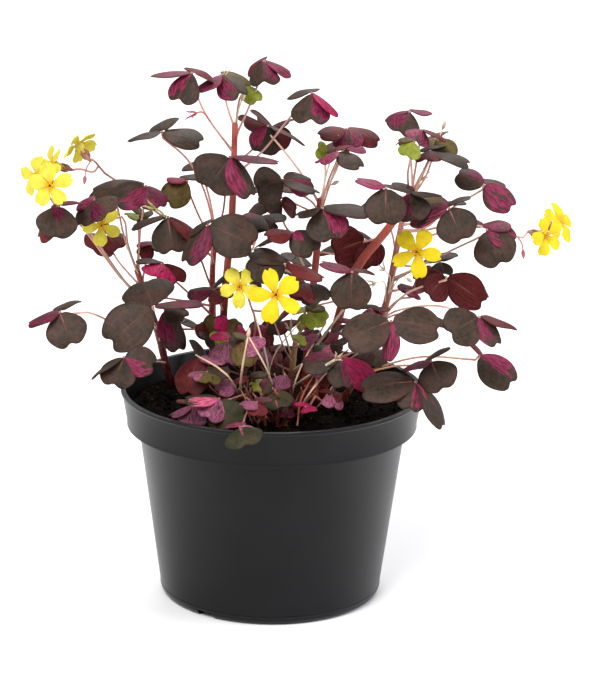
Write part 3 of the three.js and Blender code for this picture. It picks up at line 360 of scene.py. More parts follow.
# Bare stalks, buds and bracts too fine for the plant's main form. A start of two pixels lies on the
# soil. A start in words is a stem or a bloom with the share of its route, or a stem with the number of
# a leaf and the share of that leaf's stalk. Then the places passed, given as in STEMS, the thickness in
# millimetres, the colour, and what ends it: nothing, a bud, or bracts.
SPRIGS = [
    (("young_shoot", 0.3), [(312, 352, -6), (346, 306, 2)], 1.2, STRAW, ""),
    (("young_shoot", 0.45), [(316, 354, 0), (345, 328, 6)], 1.1, STRAW, ""),
    (("young_shoot", 0.16), [(312, 374, 16), (336, 359, 36)], 1.3, STRAW, "bracts"),
    (("young_shoot", 0.6), [(286, 352, -6), (274, 322, 2)], 0.7, BEIGE, ""),
    (("young_shoot", 0.9), [(293, 340, -9), (290, 330, -6)], 0.8, STRAW, "bracts"),
    (("young_shoot", 1.0), [(299, 336, -9), (301, 329, -6)], 0.8, BUD_GREEN, "bud"),
    ((297, 427), [(301, 400, 22), (315, 373, 20)], 0.8, RUST, ""),
    ((312, 408), [(323, 401, 16), (332, 387, 14)], 0.7, BEIGE, ""),
    ((278, 404), [(266, 368, 34), (249, 337, 38)], 0.8, BEIGE, ""),
    ((240, 404), [(242, 370, 34), (248, 336, 38)], 0.9, BEIGE, "bud"),
    ((244, 404), [(224, 372, 34), (196, 355, 18)], 0.8, BEIGE, ""),
    ((262, 404), [(275, 354, 8), (300, 322, 12)], 0.6, BEIGE, ""),
    ((270, 402), [(268, 366, 14), (256, 318, 20)], 0.8, STRAW, ""),
    ((252, 398), [(258, 350, -6), (276, 305, -4)], 0.7, RUST, ""),
    ((300, 398), [(306, 360, -8), (326, 322, -4)], 0.8, STRAW, ""),
    ((306, 402), [(320, 372, -2), (348, 350, 4)], 0.8, RUST, ""),
    ((296, 414), [(312, 390, 28), (334, 364, 12)], 0.8, BEIGE, ""),
    ((288, 410), [(298, 374, 24), (318, 334, 2)], 0.7, BEIGE, ""),
    ((330, 396), [(342, 366, -4), (372, 344, 2)], 0.7, BEIGE, ""),
    ((284, 396), [(276, 370, -2), (268, 340, 0)], 0.7, MAROON, ""),
    (("leafy_stem_right", 0.5), [(390, 277, -12), (384, 270, -8)], 0.5, STRAW, "bracts"),
    (("leafy_stem_right", 0.52), [(395, 273, -10), (398, 266, -6)], 0.5, STRAW, "bracts"),
    (("leafy_stem_right", 0.48), [(384, 282, -10), (375, 283, -6)], 0.5, STRAW, "bracts"),
    (("leafy_stem_right", 0.54), [(402, 276, -10), (408, 279, -6)], 0.5, STRAW, "bud"),
    (("leafy_stem_right", 1.0), [(419, 184, -6), (434, 150, -4), (443, 128, -2)], 0.7, BEIGE, "bud"),
    (("leafy_stem_right", 1.0), [(412, 194, -7), (422, 179, -3)], 0.6, BEIGE, "bracts"),
    (("leafy_stem_middle", 1.0), [(326, 188, 2), (333, 184, 4)], 0.6, BEIGE, "bud"),
    (("leafy_stem_middle", 0.97), [(326, 176, -2), (336, 143, 0)], 0.7, STRAW, "bud"),
    (("leafy_stem_slanting", 1.0), [(420, 176, 8), (430, 160, 8)], 0.6, BEIGE, "bud"),
    (("leafy_stem_tall", 0, 0.5), [(202, 112, 22), (196, 113, 24)], 0.7, BUD_PINK, "bracts"),
    (("leafy_stem_tall", 1, 1.0), [(225, 71, 12), (227, 66, 13)], 0.4, STRAW, ""),
    (("leafy_stem_tall", 1, 1.0), [(228, 72, 12), (232, 69, 14)], 0.4, STRAW, ""),
    (("leafy_stem_tall", 0.86), [(238, 112, 6), (242, 100, 4)], 0.8, STRAW, "bud"),
    (("leafy_stem_tall", 0.5), [(231, 184, 3), (230, 177, 5)], 0.8, BUD_GREEN, "bud"),
    (("leafy_stem_slim", 3, 1.0), [(161, 212, 12), (154, 208, 14)], 0.9, BUD_GREEN, "bracts"),
    (("leafy_stem_left", 0.9), [(134, 262, -12), (129, 250, -8)], 0.7, BEIGE, "bud"),
    (("bloom_left_high", 0.93), [(86, 170, -8), (85, 177, -6)], 0.6, BUD_PINK, "bud"),
    (("bloom_right_inner", 0.88), [(522, 244, 0), (523, 251, 2)], 0.6, BUD_PINK, "bud"),
]

# The crown of old shoots at the soil, in front: its middles in the picture, its spread to the sides and
# to the viewer in millimetres, and how its shoots differ. CROWN_GATHER is how far most stand from a
# middle, as a share of the spread.
CROWN_PLACES = [(262, 422), (282, 424), (274, 412), (292, 406), (256, 412)]
CROWN_SPREAD = (10, 6)
CROWN_SHOOTS = 130
CROWN_STEPS = 5
CROWN_HEIGHTS = (3, 19)
CROWN_GATHER = 0.45
CROWN_LEAN = 0.6
CROWN_LEANS = (-0.3, 0.3)
CROWN_BENDS = (-0.2, 0.2)
CROWN_RADII = (0.35, 0.8)
CROWN_TIPS = (1.1, 2.2)
CROWN_TONES = [MAROON, RUST, MAROON, colour(124, 62, 48), colour(70, 26, 24), colour(178, 128, 98)]

# The stage: floor and lights in metres, the camera's sensor in millimetres. A light has its place, its
# size, its power and its tint.
FLOOR_SIZE = 30
FLOOR_WHITES = (colour(246, 246, 246), colour(250, 250, 250))
LIGHT_AIM = Vector((0, 0, 0.12))
LIGHTS = {
    "key_light": ((-0.7, -1.35, 1.8), 1.2, 50, (1, 1, 1)),
    "fill_light": ((1.5, -0.3, 0.9), 1.1, 20, (0.92, 0.92, 1)),
    "back_light": ((0.2, 1.4, 1.6), 1.4, 28, (1, 1, 1)),
}
WORLD_STRENGTH = 0.42
SENSOR_WIDTH = 36

# The leafy stems, each with its route from the soil up and its thickness at the foot and the top. A
# place is given as it looks to the viewer: pixels across the picture, pixels down it, and millimetres
# toward the viewer from the pot's axis.
STEMS = {
    "leafy_stem_tall": ([(222, 389, -25), (224, 307, -14), (232, 213, 0), (235, 125, 10)], 3.6, 2.4),
    "leafy_stem_slim": ([(213, 388, -26), (212, 305, -26), (213, 262, -20), (216, 236, -16)], 3.0, 2.2),
    "leafy_stem_left": ([(172, 389, -25), (156, 326, -20), (146, 297, -17), (137, 270, -15)], 3.4, 2.4),
    "leafy_stem_middle": ([(303, 404, -5), (312, 300, -2), (317, 248, 0), (320, 200, 0)], 3.6, 2.6),
    "leafy_stem_slanting": (
        [(322, 398, -14), (338, 320, -14), (355, 271, -8), (390, 226, 0), (413, 190, 8)], 4.4, 3.0),
    "leafy_stem_right": (
        [(361, 389, -22), (369, 355, -22), (387, 300, -18), (394, 262, -14), (403, 216, -10)], 3.6, 2.2),
    "tuft_right": ([(345, 399, -8), (352, 384, -6), (358, 374, -4)], 2.8, 2.2),
    "young_shoot": ([(290, 398, -14), (293, 362, -12), (296, 338, -11)], 3.2, 2.2),
    "tuft_left": ([(245, 395, -17), (244, 380, -13), (243, 362, -11)], 2.8, 2.2),
    "tuft_front": ([(262, 408, 0), (261, 398, 4), (260, 390, 7)], 2.6, 2.0),
    "tuft_centre": ([(318, 409, 0), (316, 397, 3), (314, 387, 6)], 2.6, 2.0),
    "leafy_stem_back_left": ([(216, 379, -38), (213, 310, -45), (213, 262, -48), (216, 236, -46)], 3.0, 2.2),
    "leafy_stem_back_middle": (
        [(306, 375, -44), (311, 310, -51), (316, 255, -54), (319, 215, -52)], 3.2, 2.2),
    "leafy_stem_back_right": ([(356, 385, -30), (371, 345, -39), (388, 298, -42), (396, 255, -40)], 3.2, 2.2),
}

# The leaves of each stem. A leaf has the share of the stem's length that its stalk leaves from, its hub,
# the places that its stalk passes, and its leaflets: the tip's pixels across and down, its millimetres
# toward the viewer from the hub, the turn in degrees from facing the viewer to facing up, the width in
# millimetres, the fold of each half in degrees, and the finish.
LEAVES = {
    "leafy_stem_tall": [
        (0.9, (192, 73, 24), [(205, 113, 19)], [
            (150, 75, -2, 77, 15, 12, "pink"), (178, 101, 11, 5, 16, 38, "left"),
            (209, 75, -17, 73, 15, 20, "wine")]),
        (0.99, (221, 75, 12), [(229, 112, 10)], [
            (194, 91, 6, 73, 15, 20, "pink"), (242, 96, 9, 35, 15, 35, "left"),
            (249, 80, -9, 71, 13, 15, "olive")]),
        (0.97, (246, 86, -5), [(240, 98, 0)], [
            (258, 102, 5, 28, 10, 30, "lime"), (254, 91, -7, 71, 8, 20, "lime"),
            (241, 88, -4, 64, 7, 20, "olive")]),
        (0.95, (264, 61, -8), [(252, 100, -2)], [
            (264, 82, 11, 0, 17, 42, "right"), (249, 68, -6, 73, 14, 20, "wine"),
            (292, 74, -3, 79, 14, 20, "pink")]),
        (0.82, (312, 93, 17), [(262, 152, -3), (294, 113, 10)], [
            (311, 122, 10, 0, 19, 34, "right"), (340, 116, 1, 77, 14, 20, "hot"),
            (295, 92, -9, 73, 16, 15, "dark")]),
        (0.86, (272, 127, -32), [(252, 150, -14)], [
            (281, 153, 5, 150, 17, 15, "wine"), (291, 121, -9, 100, 13, 15, "wine"),
            (254, 116, -9, 110, 16, 10, "wine")]),
        (0.55, (262, 216, -6), [(247, 256, -8)], [
            (241, 219, 3, 69, 13, 15, "pink"), (277, 224, 7, 40, 17, 20, "dark"),
            (262, 232, 11, 10, 14, 15, "dark")]),
        (0.3, (214, 290, -3), [], [
            (187, 291, -2, 57, 14, 28, "left"), (226, 300, 9, 30, 12, 20, "wine"),
            (220, 279, -9, 71, 12, 15, "dark")]),
    ],
    "leafy_stem_slim": [
        (1.0, (162, 132, -4), [(204, 190, -10), (188, 160, -8)], [
            (203, 143, 4, 61, 16, 10, "dark"), (126, 141, 3, 79, 15, 10, "dark"),
            (166, 120, -14, 40, 14, 10, "dark")]),
        (0.98, (230, 157, 19), [(223, 212, -8), (226, 184, 3)], [
            (207, 189, 5, 0, 22, 6, "dark"), (281, 162, 2, 82, 17, 12, "pink"),
            (252, 198, 5, 38, 15, 34, "left")]),
        (0.97, (187, 181, -6), [(202, 222, -10)], [
            (166, 205, 7, 10, 13, 12, "olive"), (166, 178, 0, 73, 11, 20, "hot"),
            (200, 174, -10, 59, 13, 12, "dark")]),
        (0.85, (168, 217, 10), [(186, 237, 0)], [
            (172, 254, 7, 0, 17, 24, "ribbed"), (207, 244, -2, 69, 15, 18, "wine"),
            (131, 227, -3, 82, 13, 12, "dark")]),
        (0.8, (208, 225, 22), [(211, 245, 0)], [
            (256, 246, 5, 10, 19, 5, "dark"), (184, 264, 6, 45, 15, 30, "right"),
            (193, 229, -8, 71, 13, 15, "dark")]),
        (0.45, (163, 264, 3), [(183, 288, -12)], [
            (157, 278, 9, 5, 16, 20, "hot"), (138, 259, -5, 81, 13, 12, "dark"),
            (179, 284, -8, 150, 13, 15, "wine")]),
    ],
    "leafy_stem_left": [
        (0.97, (146, 186, 3), [(140, 234, -10)], [
            (114, 203, 7, 25, 15, 15, "right"), (89, 192, -8, 59, 16, 18, "ribbed"),
            (161, 208, 7, 25, 14, 30, "pink")]),
        (0.92, (94, 200, 17), [(124, 236, -10), (116, 205, -4)], [
            (109, 215, 10, 12, 15, 15, "left"), (77, 204, -4, 71, 12, 18, "pink"),
            (80, 227, 7, 40, 13, 22, "dark")]),
        (0.75, (58, 206, 27), [(126, 284, -8), (84, 229, -4)], [
            (56, 239, 8, 0, 17, 8, "spot"), (73, 201, -8, 81, 15, 12, "pink"),
            (38, 241, -2, 45, 13, 30, "wine")]),
        (0.55, (60, 312, 37), [(118, 324, 10), (84, 312, 31)], [
            (72, 347, 8, 0, 17, 6, "ribbed"), (27, 324, 1, 69, 13, 18, "pink"),
            (72, 301, -11, 73, 14, 12, "dark")]),
        (0.5, (153, 307, 27), [(152, 318, -4)], [
            (144, 279, -15, 0, 22, 5, "dark"), (107, 345, 6, 15, 20, 5, "dark"),
            (204, 303, -2, 77, 16, 12, "pink")]),
        (0.4, (165, 310, 3), [(160, 330, -10)], [
            (180, 352, 8, 30, 14, 30, "left"), (186, 318, 6, 45, 12, 20, "dark"),
            (190, 302, -9, 71, 12, 15, "hot")]),
        (0.22, (124, 357, 51), [(154, 362, 0)], [
            (89, 379, 4, 82, 13, 12, "dark"), (113, 386, 10, 5, 16, 26, "ribbed"),
            (156, 366, 2, 10, 13, 10, "left")]),
        (0.84, (108, 236, -26), [(119, 262, -20)], [
            (92, 250, 8, 20, 15, 15, "wine"), (119, 250, 5, 25, 12, 15, "wine"),
            (118, 232, -12, 40, 12, 10, "dark")]),
        (1.0, (139, 216, -16), [(139, 240, -17)], [
            (126, 215, 3, 64, 9, 15, "lime"), (149, 218, 4, 45, 10, 20, "olive"),
            (138, 206, -8, 40, 9, 15, "olive")]),
        (0.88, (152, 245, -14), [(147, 260, -15)], [
            (138, 256, 2, 40, 11, 22, "wine"), (139, 243, -4, 71, 9, 15, "pink"),
            (166, 249, 2, 73, 10, 15, "dark")]),
    ],
    "leafy_stem_middle": [
        (0.98, (268, 126, -12), [(303, 176, -4), (274, 139, -10)], [
            (241, 122, -6, 108, 19, 8, "wine"), (258, 153, 3, 8, 17, 36, "left"),
            (307, 146, 2, 82, 14, 10, "dark")]),
        (1.0, (346, 129, -4), [(338, 166, -2)], [
            (318, 135, 3, 64, 14, 15, "wine"), (350, 148, 10, 0, 14, 22, "pink"),
            (380, 143, 2, 61, 14, 15, "wine")]),
        (0.94, (337, 152, 14), [(328, 182, 5)], [
            (362, 168, 5, 57, 14, 12, "dark"), (318, 164, 6, 77, 12, 14, "pink"),
            (343, 146, -9, 64, 12, 12, "wine")]),
        (0.97, (327, 153, -6), [(325, 180, -3)], [
            (317, 147, 2, 25, 9, 20, "lime"), (334, 158, 4, 40, 7, 20, "lime")]),
        (0.93, (283, 180, 7), [(312, 202, 5)], [
            (255, 190, 1, 22, 18, 12, "dark"), (314, 182, -6, 40, 15, 28, "right"),
            (318, 194, 9, 77, 15, 14, "dark")]),
        (0.8, (281, 201, -18), [(288, 230, -10)], [
            (262, 206, 6, 30, 14, 15, "dark"), (297, 212, 5, 120, 12, 12, "wine"),
            (250, 208, -9, 59, 16, 12, "dark")]),
        (0.88, (322, 208, 17), [(320, 218, 8)], [
            (333, 241, 8, 10, 19, 20, "right"), (370, 213, 0, 69, 16, 10, "dark"),
            (296, 217, 3, 82, 13, 12, "dark")]),
        (0.6, (292, 232, 14), [(303, 264, 3)], [
            (265, 237, 4, 57, 13, 15, "wine"), (316, 253, 6, 25, 14, 15, "spot"),
            (255, 247, -6, 82, 14, 12, "dark")]),
        (0.56, (285, 264, 24), [(296, 276, 8)], [
            (247, 273, 7, 30, 16, 10, "dark"), (250, 250, -5, 64, 16, 10, "dark"),
            (325, 280, 4, 69, 15, 18, "wine")]),
        (0.52, (308, 284, 20), [], [
            (286, 290, 4, 40, 14, 15, "wine"), (322, 302, 8, 20, 14, 25, "dark"),
            (300, 299, 9, 15, 15, 20, "wine")]),
    ],
    "leafy_stem_slanting": [
        (0.7, (366, 240, -18), [(377, 239, -8)], [
            (331, 253, 4, 160, 20, 8, "brown"), (372, 269, 9, 165, 15, 12, "brown"),
            (360, 232, -9, 71, 12, 12, "dark")]),
        (0.93, (386, 188, 34), [(402, 197, 17)], [
            (385, 226, 7, 0, 17, 6, "ribbed"), (355, 178, -2, 69, 12, 15, "pink"),
            (405, 189, -8, 77, 13, 12, "dark")]),
        (1.0, (410, 112, -4), [(411, 160, 2)], [
            (399, 133, 9, 5, 16, 24, "left"), (430, 112, -4, 77, 12, 12, "pink"),
            (385, 119, -4, 82, 11, 12, "dark")]),
        (0.99, (422, 130, 14), [(416, 165, 8)], [
            (415, 142, 10, 0, 12, 22, "pink"), (396, 145, 4, 73, 13, 18, "wine"),
            (448, 141, 1, 81, 13, 12, "wine")]),
        (0.88, (435, 139, -4), [(425, 178, 0)], [
            (453, 156, 7, 25, 13, 22, "olive"), (420, 141, 2, 69, 11, 15, "olive"),
            (440, 133, -10, 59, 10, 12, "olive")]),
        (0.94, (430, 151, 8), [(420, 178, 12)], [
            (471, 165, 2, 73, 14, 12, "dark"), (425, 161, 8, 25, 12, 24, "wine"),
            (436, 146, -10, 64, 12, 12, "dark")]),
        (0.97, (414, 142, 39), [(408, 172, 24)], [
            (406, 157, 5, 10, 11, 30, "lime"), (401, 138, -5, 71, 8, 20, "olive")]),
        (0.95, (409, 193, 20), [(411, 200, 14)], [
            (414, 221, 8, 0, 17, 24, "left"), (443, 196, 2, 81, 14, 12, "dark"),
            (398, 182, -10, 59, 10, 12, "dark")]),
        (0.48, (352, 272, 20), [(349, 285, -2)], [
            (350, 311, 5, 0, 17, 4, "ribbed"), (319, 262, -2, 69, 13, 15, "pink"),
            (370, 271, -8, 81, 12, 12, "wine")]),
        (0.15, (371, 309, 10), [(356, 350, -18), (366, 328, -12)], [
            (391, 308, 0, 77, 12, 12, "wine"), (372, 320, 9, 10, 10, 20, "pink"),
            (362, 306, -7, 71, 11, 12, "dark")]),
    ],
    "leafy_stem_right": [
        (0.98, (484, 185, -4), [(428, 221, -9), (460, 203, -6)], [
            (457, 172, -3, 45, 14, 18, "right"), (514, 208, 5, 25, 15, 25, "pink"),
            (497, 181, -12, 59, 13, 12, "dark")]),
        (0.95, (449, 208, 24), [(424, 222, -2)], [
            (463, 241, 8, 0, 17, 6, "ribbed"), (409, 219, -7, 59, 15, 16, "pink"),
            (463, 197, -10, 77, 13, 12, "dark")]),
        (0.92, (446, 206, 0), [(425, 228, -6)], [
            (424, 203, 4, 38, 14, 18, "olive"), (432, 195, -6, 69, 12, 12, "pink"),
            (460, 201, -8, 71, 12, 12, "dark")]),
        (0.62, (487, 230, 17), [(438, 257, 0), (478, 238, 14)], [
            (502, 266, 6, 5, 18, 8, "dark"), (505, 221, -7, 57, 14, 15, "pink"),
            (516, 242, 1, 35, 12, 15, "pink")]),
        (0.4, (446, 277, 7), [(411, 291, 3)], [
            (413, 281, -2, 130, 15, 12, "wine"), (485, 305, 4, 150, 17, 6, "wine"),
            (427, 297, 6, 160, 14, 14, "wine")]),
        (0.42, (413, 291, -8), [(398, 300, -14)], [
            (399, 283, -2, 64, 11, 18, "pink"), (413, 298, 8, 30, 8, 15, "pink"),
            (432, 270, -8, 120, 14, 12, "brown")]),
        (0.3, (391, 321, 44), [(388, 324, 7)], [
            (442, 330, 3, 25, 17, 5, "dark"), (344, 343, 6, 25, 18, 12, "ribbed"),
            (386, 363, 6, 40, 12, 34, "pink")]),
        (0.32, (479, 317, 37), [(391, 313, -4), (440, 306, 17)], [
            (448, 335, 6, 10, 18, 6, "dark"), (518, 328, -2, 75, 14, 12, "wine"),
            (498, 346, 6, 30, 11, 28, "left")]),
        (0.72, (440, 262, -14), [], [
            (445, 275, 5, 30, 11, 15, "brown"), (428, 258, -4, 71, 12, 12, "dark"),
            (452, 252, -8, 59, 11, 12, "dark")]),
    ],
    "tuft_right": [
        (0.9, (431, 361, 30), [(396, 366, 14)], [
            (444, 391, 8, 0, 17, 5, "ribbed"), (401, 370, 2, 71, 12, 15, "pink"),
            (443, 348, -10, 75, 13, 12, "dark")]),
        (1.0, (479, 356, 18), [(420, 357, 8)], [
            (514, 385, 6, 30, 17, 16, "right"), (477, 347, -9, 59, 11, 12, "wine")]),
        (0.8, (415, 382, 36), [(384, 384, 18)], [
            (359, 390, 2, 38, 17, 14, "ribbed"), (409, 411, 8, 5, 14, 24, "right"),
            (445, 428, 3, 64, 14, 15, "dark")]),
        (0.7, (340, 358, 26), [(346, 372, 12)], [
            (376, 387, 5, 35, 14, 22, "hot"), (343, 389, 9, 10, 13, 26, "right"),
            (301, 366, 0, 45, 13, 18, "left")]),
        (0.95, (372, 352, -5), [], [
            (390, 362, 4, 40, 13, 12, "dark"), (360, 362, 6, 30, 12, 15, "brown"),
            (368, 342, -9, 64, 11, 12, "dark")]),
    ],
    "young_shoot": [
        (1.0, (305, 313, -11), [], [
            (303, 331, 6, 10, 8, 25, "lime"), (314, 304, -7, 59, 9, 15, "olive"),
            (294, 309, -5, 59, 8, 15, "lime")]),
        (0.97, (310, 313, 11), [(302, 330, -3)], [
            (316, 329, 5, 25, 8, 20, "lime"), (328, 321, 1, 25, 10, 15, "lime"),
            (320, 305, -6, 45, 9, 12, "olive")]),
        (0.85, (304, 337, 8), [], [
            (313, 345, 5, 15, 10, 18, "lilac"), (296, 342, 5, 30, 8, 15, "lime"),
            (308, 330, -7, 59, 8, 15, "pink")]),
        (0.6, (281, 322, -20), [(288, 345, -16)], [
            (262, 322, 3, 35, 13, 15, "dark"), (290, 330, 5, 25, 12, 15, "wine"),
            (284, 311, -9, 59, 12, 12, "wine")]),
        (0.45, (268, 351, -8), [(278, 365, -10)], [
            (252, 351, 4, 25, 13, 15, "lilac"), (262, 362, 8, 10, 12, 15, "lilac"),
            (284, 345, -3, 71, 12, 15, "wine")]),
        (0.38, (282, 365, -28), [(286, 376, -20)], [
            (270, 361, -1, 30, 13, 15, "wine"), (297, 364, 1, 30, 13, 15, "wine"),
            (283, 382, 5, 15, 12, 15, "dark")]),
    ],
    "tuft_left": [
        (1.0, (247, 336, 2), [], [
            (238, 332, 4, 40, 9, 20, "hot"), (266, 331, 3, 35, 10, 20, "hot"),
            (250, 328, -8, 59, 9, 15, "dark")]),
        (0.92, (226, 335, -2), [(234, 350, -7)], [
            (221, 315, -2, 40, 9, 28, "hot"), (239, 320, -2, 25, 10, 20, "olive"),
            (213, 341, 5, 35, 10, 20, "lime")]),
        (0.8, (214, 340, -6), [(229, 358, -11)], [
            (215, 314, -2, 25, 12, 15, "olive"), (199, 322, -3, 45, 12, 18, "wine"),
            (203, 340, 6, 35, 11, 15, "dark")]),
        (0.62, (199, 357, 14), [(222, 369, 0)], [
            (187, 397, 9, 25, 17, 10, "wine"), (229, 362, 6, 69, 12, 18, "lilac"),
            (199, 343, -10, 45, 12, 15, "dark")]),
        (0.72, (228, 341, 14), [(236, 357, 3)], [
            (227, 366, 7, 5, 17, 22, "lilac"), (250, 344, -2, 45, 10, 15, "dark"),
            (215, 333, -6, 59, 10, 15, "hot")]),
        (0.55, (246, 341, 19), [(250, 358, 6)], [
            (243, 367, 8, 5, 12, 18, "olive"), (262, 350, 4, 25, 12, 15, "lilac"),
            (240, 333, -9, 45, 9, 12, "olive")]),
        (0.42, (207, 372, 24), [(226, 380, 6)], [
            (191, 378, 5, 59, 10, 20, "lilac"), (210, 384, 8, 15, 11, 15, "olive"),
            (230, 368, -3, 45, 12, 15, "dark")]),
        (0.3, (234, 386, 22), [], [
            (217, 392, 6, 45, 9, 20, "lilac"), (214, 382, -2, 64, 9, 20, "lilac"),
            (243, 376, -6, 59, 9, 15, "wine")]),
        (0.86, (260, 335, -26), [(250, 352, -20)], [
            (247, 330, 0, 30, 13, 15, "dark"), (273, 331, 0, 30, 13, 15, "wine"),
            (261, 350, 5, 15, 12, 15, "wine")]),
    ],
    "tuft_front": [
        (0.95, (219, 399, 34), [(240, 396, 22)], [
            (231, 429, 6, 0, 17, 16, "green"), (184, 399, 1, 61, 13, 20, "split"),
            (206, 420, 7, 10, 13, 22, "lilac")]),
        (0.9, (192, 406, 26), [(222, 404, 16)], [
            (169, 416, 4, 71, 10, 20, "lilac"), (193, 426, 6, 15, 14, 15, "lilac"),
            (184, 400, -8, 59, 10, 15, "wine")]),
        (0.6, (240, 427, 64), [(250, 406, 26)], [
            (247, 447, 8, 0, 16, 10, "green"), (256, 437, 2, 45, 10, 20, "lilac"),
            (232, 424, -7, 59, 9, 15, "pink")]),
        (0.98, (275, 390, 24), [], [
            (281, 409, 8, 5, 13, 15, "green"), (285, 375, -5, 30, 10, 25, "lilac"),
            (264, 384, -2, 40, 9, 15, "dark")]),
        (0.95, (264, 379, 10), [], [
            (257, 393, 8, 15, 10, 15, "lime"), (270, 389, 7, 30, 7, 18, "hot"),
            (256, 372, -7, 45, 9, 15, "olive")]),
        (0.5, (257, 402, 40), [], [
            (241, 406, 4, 61, 10, 20, "lilac"), (258, 417, 7, 15, 9, 15, "wine"),
            (268, 397, -4, 59, 10, 15, "pink")]),
        (0.5, (283, 406, 22), [], [
            (297, 401, -3, 45, 9, 18, "wine"), (286, 418, 7, 15, 9, 15, "pink")]),
    ],
    "tuft_centre": [
        (0.95, (330, 345, 10), [(322, 368, 7)], [
            (318, 354, 6, 40, 11, 18, "split"), (345, 346, 4, 45, 11, 18, "brown"),
            (331, 335, -9, 45, 11, 12, "pink")]),
        (0.9, (350, 325, -2), [(330, 360, 4)], [
            (337, 334, 5, 45, 11, 18, "dark"), (345, 318, -5, 59, 10, 18, "pink"),
            (362, 326, -4, 59, 11, 15, "dark")]),
        (0.6, (306, 407, 31), [], [
            (311, 412, 5, 30, 8, 18, "hot"), (302, 402, -3, 45, 9, 15, "hot")]),
        (0.55, (332, 395, 24), [(324, 402, 14)], [
            (334, 409, 7, 15, 10, 18, "lilac"), (343, 396, 0, 59, 9, 18, "wine"),
            (326, 390, -6, 59, 9, 15, "wine")]),
        (0.98, (322, 374, 18), [], [
            (333, 381, 5, 35, 10, 20, "wine"), (309, 370, 3, 64, 10, 15, "lilac")]),
        (0.8, (322, 344, -24), [(318, 372, -12)], [
            (309, 339, 0, 30, 13, 15, "dark"), (335, 340, 0, 30, 13, 15, "wine"),
            (322, 358, 5, 15, 12, 15, "dark")]),
    ],
    "leafy_stem_back_left": [
        (1.0, (205, 168, -44), [(211, 205, -47)], [
            (191, 162, -13, 50, 15, 12, "dark"), (222, 165, -12, 52, 16, 10, "dark"),
            (207, 184, 1, 58, 14, 14, "ribbed")]),
        (0.88, (232, 236, -54), [], [
            (216, 231, -14, 48, 16, 10, "dark"), (249, 234, -12, 52, 15, 12, "pink"),
            (230, 251, 1, 60, 13, 14, "dark")]),
        (0.5, (146, 291, -38), [(180, 300, -44)], [
            (131, 287, -12, 50, 14, 12, "dark"), (160, 288, -14, 47, 15, 12, "left"),
            (147, 304, 0, 60, 12, 14, "dark")]),
        (0.34, (180, 324, -40), [], [
            (167, 317, -13, 50, 14, 14, "dark"), (193, 321, -13, 52, 14, 12, "ribbed"),
            (177, 337, -1, 62, 12, 14, "pink")]),
        (0.62, (254, 276, -48), [(234, 285, -49)], [
            (240, 271, -14, 50, 14, 12, "dark"), (268, 272, -12, 50, 15, 12, "dark"),
            (253, 290, 0, 60, 13, 14, "dark")]),
    ],
    "leafy_stem_back_middle": [
        (1.0, (272, 189, -50), [(300, 206, -52)], [
            (257, 184, -13, 50, 15, 12, "dark"), (288, 183, -14, 48, 16, 10, "ribbed"),
            (271, 203, 1, 60, 14, 14, "dark")]),
        (0.96, (344, 149, -46), [(330, 184, -50)], [
            (330, 142, -12, 52, 14, 12, "dark"), (359, 144, -12, 50, 14, 12, "pink"),
            (345, 163, 0, 60, 12, 16, "dark")]),
        (0.76, (342, 251, -58), [], [
            (327, 246, -14, 50, 15, 12, "dark"), (358, 247, -12, 52, 15, 12, "dark"),
            (341, 266, 0, 60, 13, 14, "left")]),
        (0.6, (289, 262, -56), [], [
            (275, 256, -12, 50, 14, 12, "ribbed"), (303, 257, -14, 48, 15, 12, "dark"),
            (288, 276, 0, 60, 13, 14, "dark")]),
        (0.42, (347, 293, -52), [], [
            (333, 287, -13, 50, 15, 12, "dark"), (362, 289, -13, 52, 14, 12, "dark"),
            (346, 307, 0, 60, 13, 14, "pink")]),
    ],
    "leafy_stem_back_right": [
        (1.0, (382, 206, -40), [(391, 230, -41)], [
            (367, 201, -13, 50, 15, 12, "dark"), (398, 202, -12, 50, 15, 12, "dark"),
            (383, 220, 1, 60, 14, 14, "dark")]),
        (0.94, (460, 223, -36), [(426, 238, -40)], [
            (445, 217, -13, 48, 15, 12, "dark"), (475, 219, -12, 52, 15, 12, "pink"),
            (461, 237, 1, 60, 13, 14, "ribbed")]),
        (0.5, (424, 322, -40), [(402, 314, -43)], [
            (408, 317, -14, 50, 16, 10, "dark"), (440, 318, -13, 50, 15, 12, "dark"),
            (425, 337, 0, 60, 14, 14, "left")]),
        (0.72, (467, 290, -40), [(430, 285, -42)], [
            (452, 285, -13, 50, 15, 12, "dark"), (482, 287, -12, 52, 15, 12, "wine"),
            (466, 304, 1, 60, 13, 14, "dark")]),
        (0.3, (356, 330, -54), [], [
            (342, 325, -12, 50, 14, 12, "dark"), (369, 325, -13, 48, 14, 12, "dark"),
            (355, 344, 0, 60, 12, 14, "ribbed")]),
    ],
}

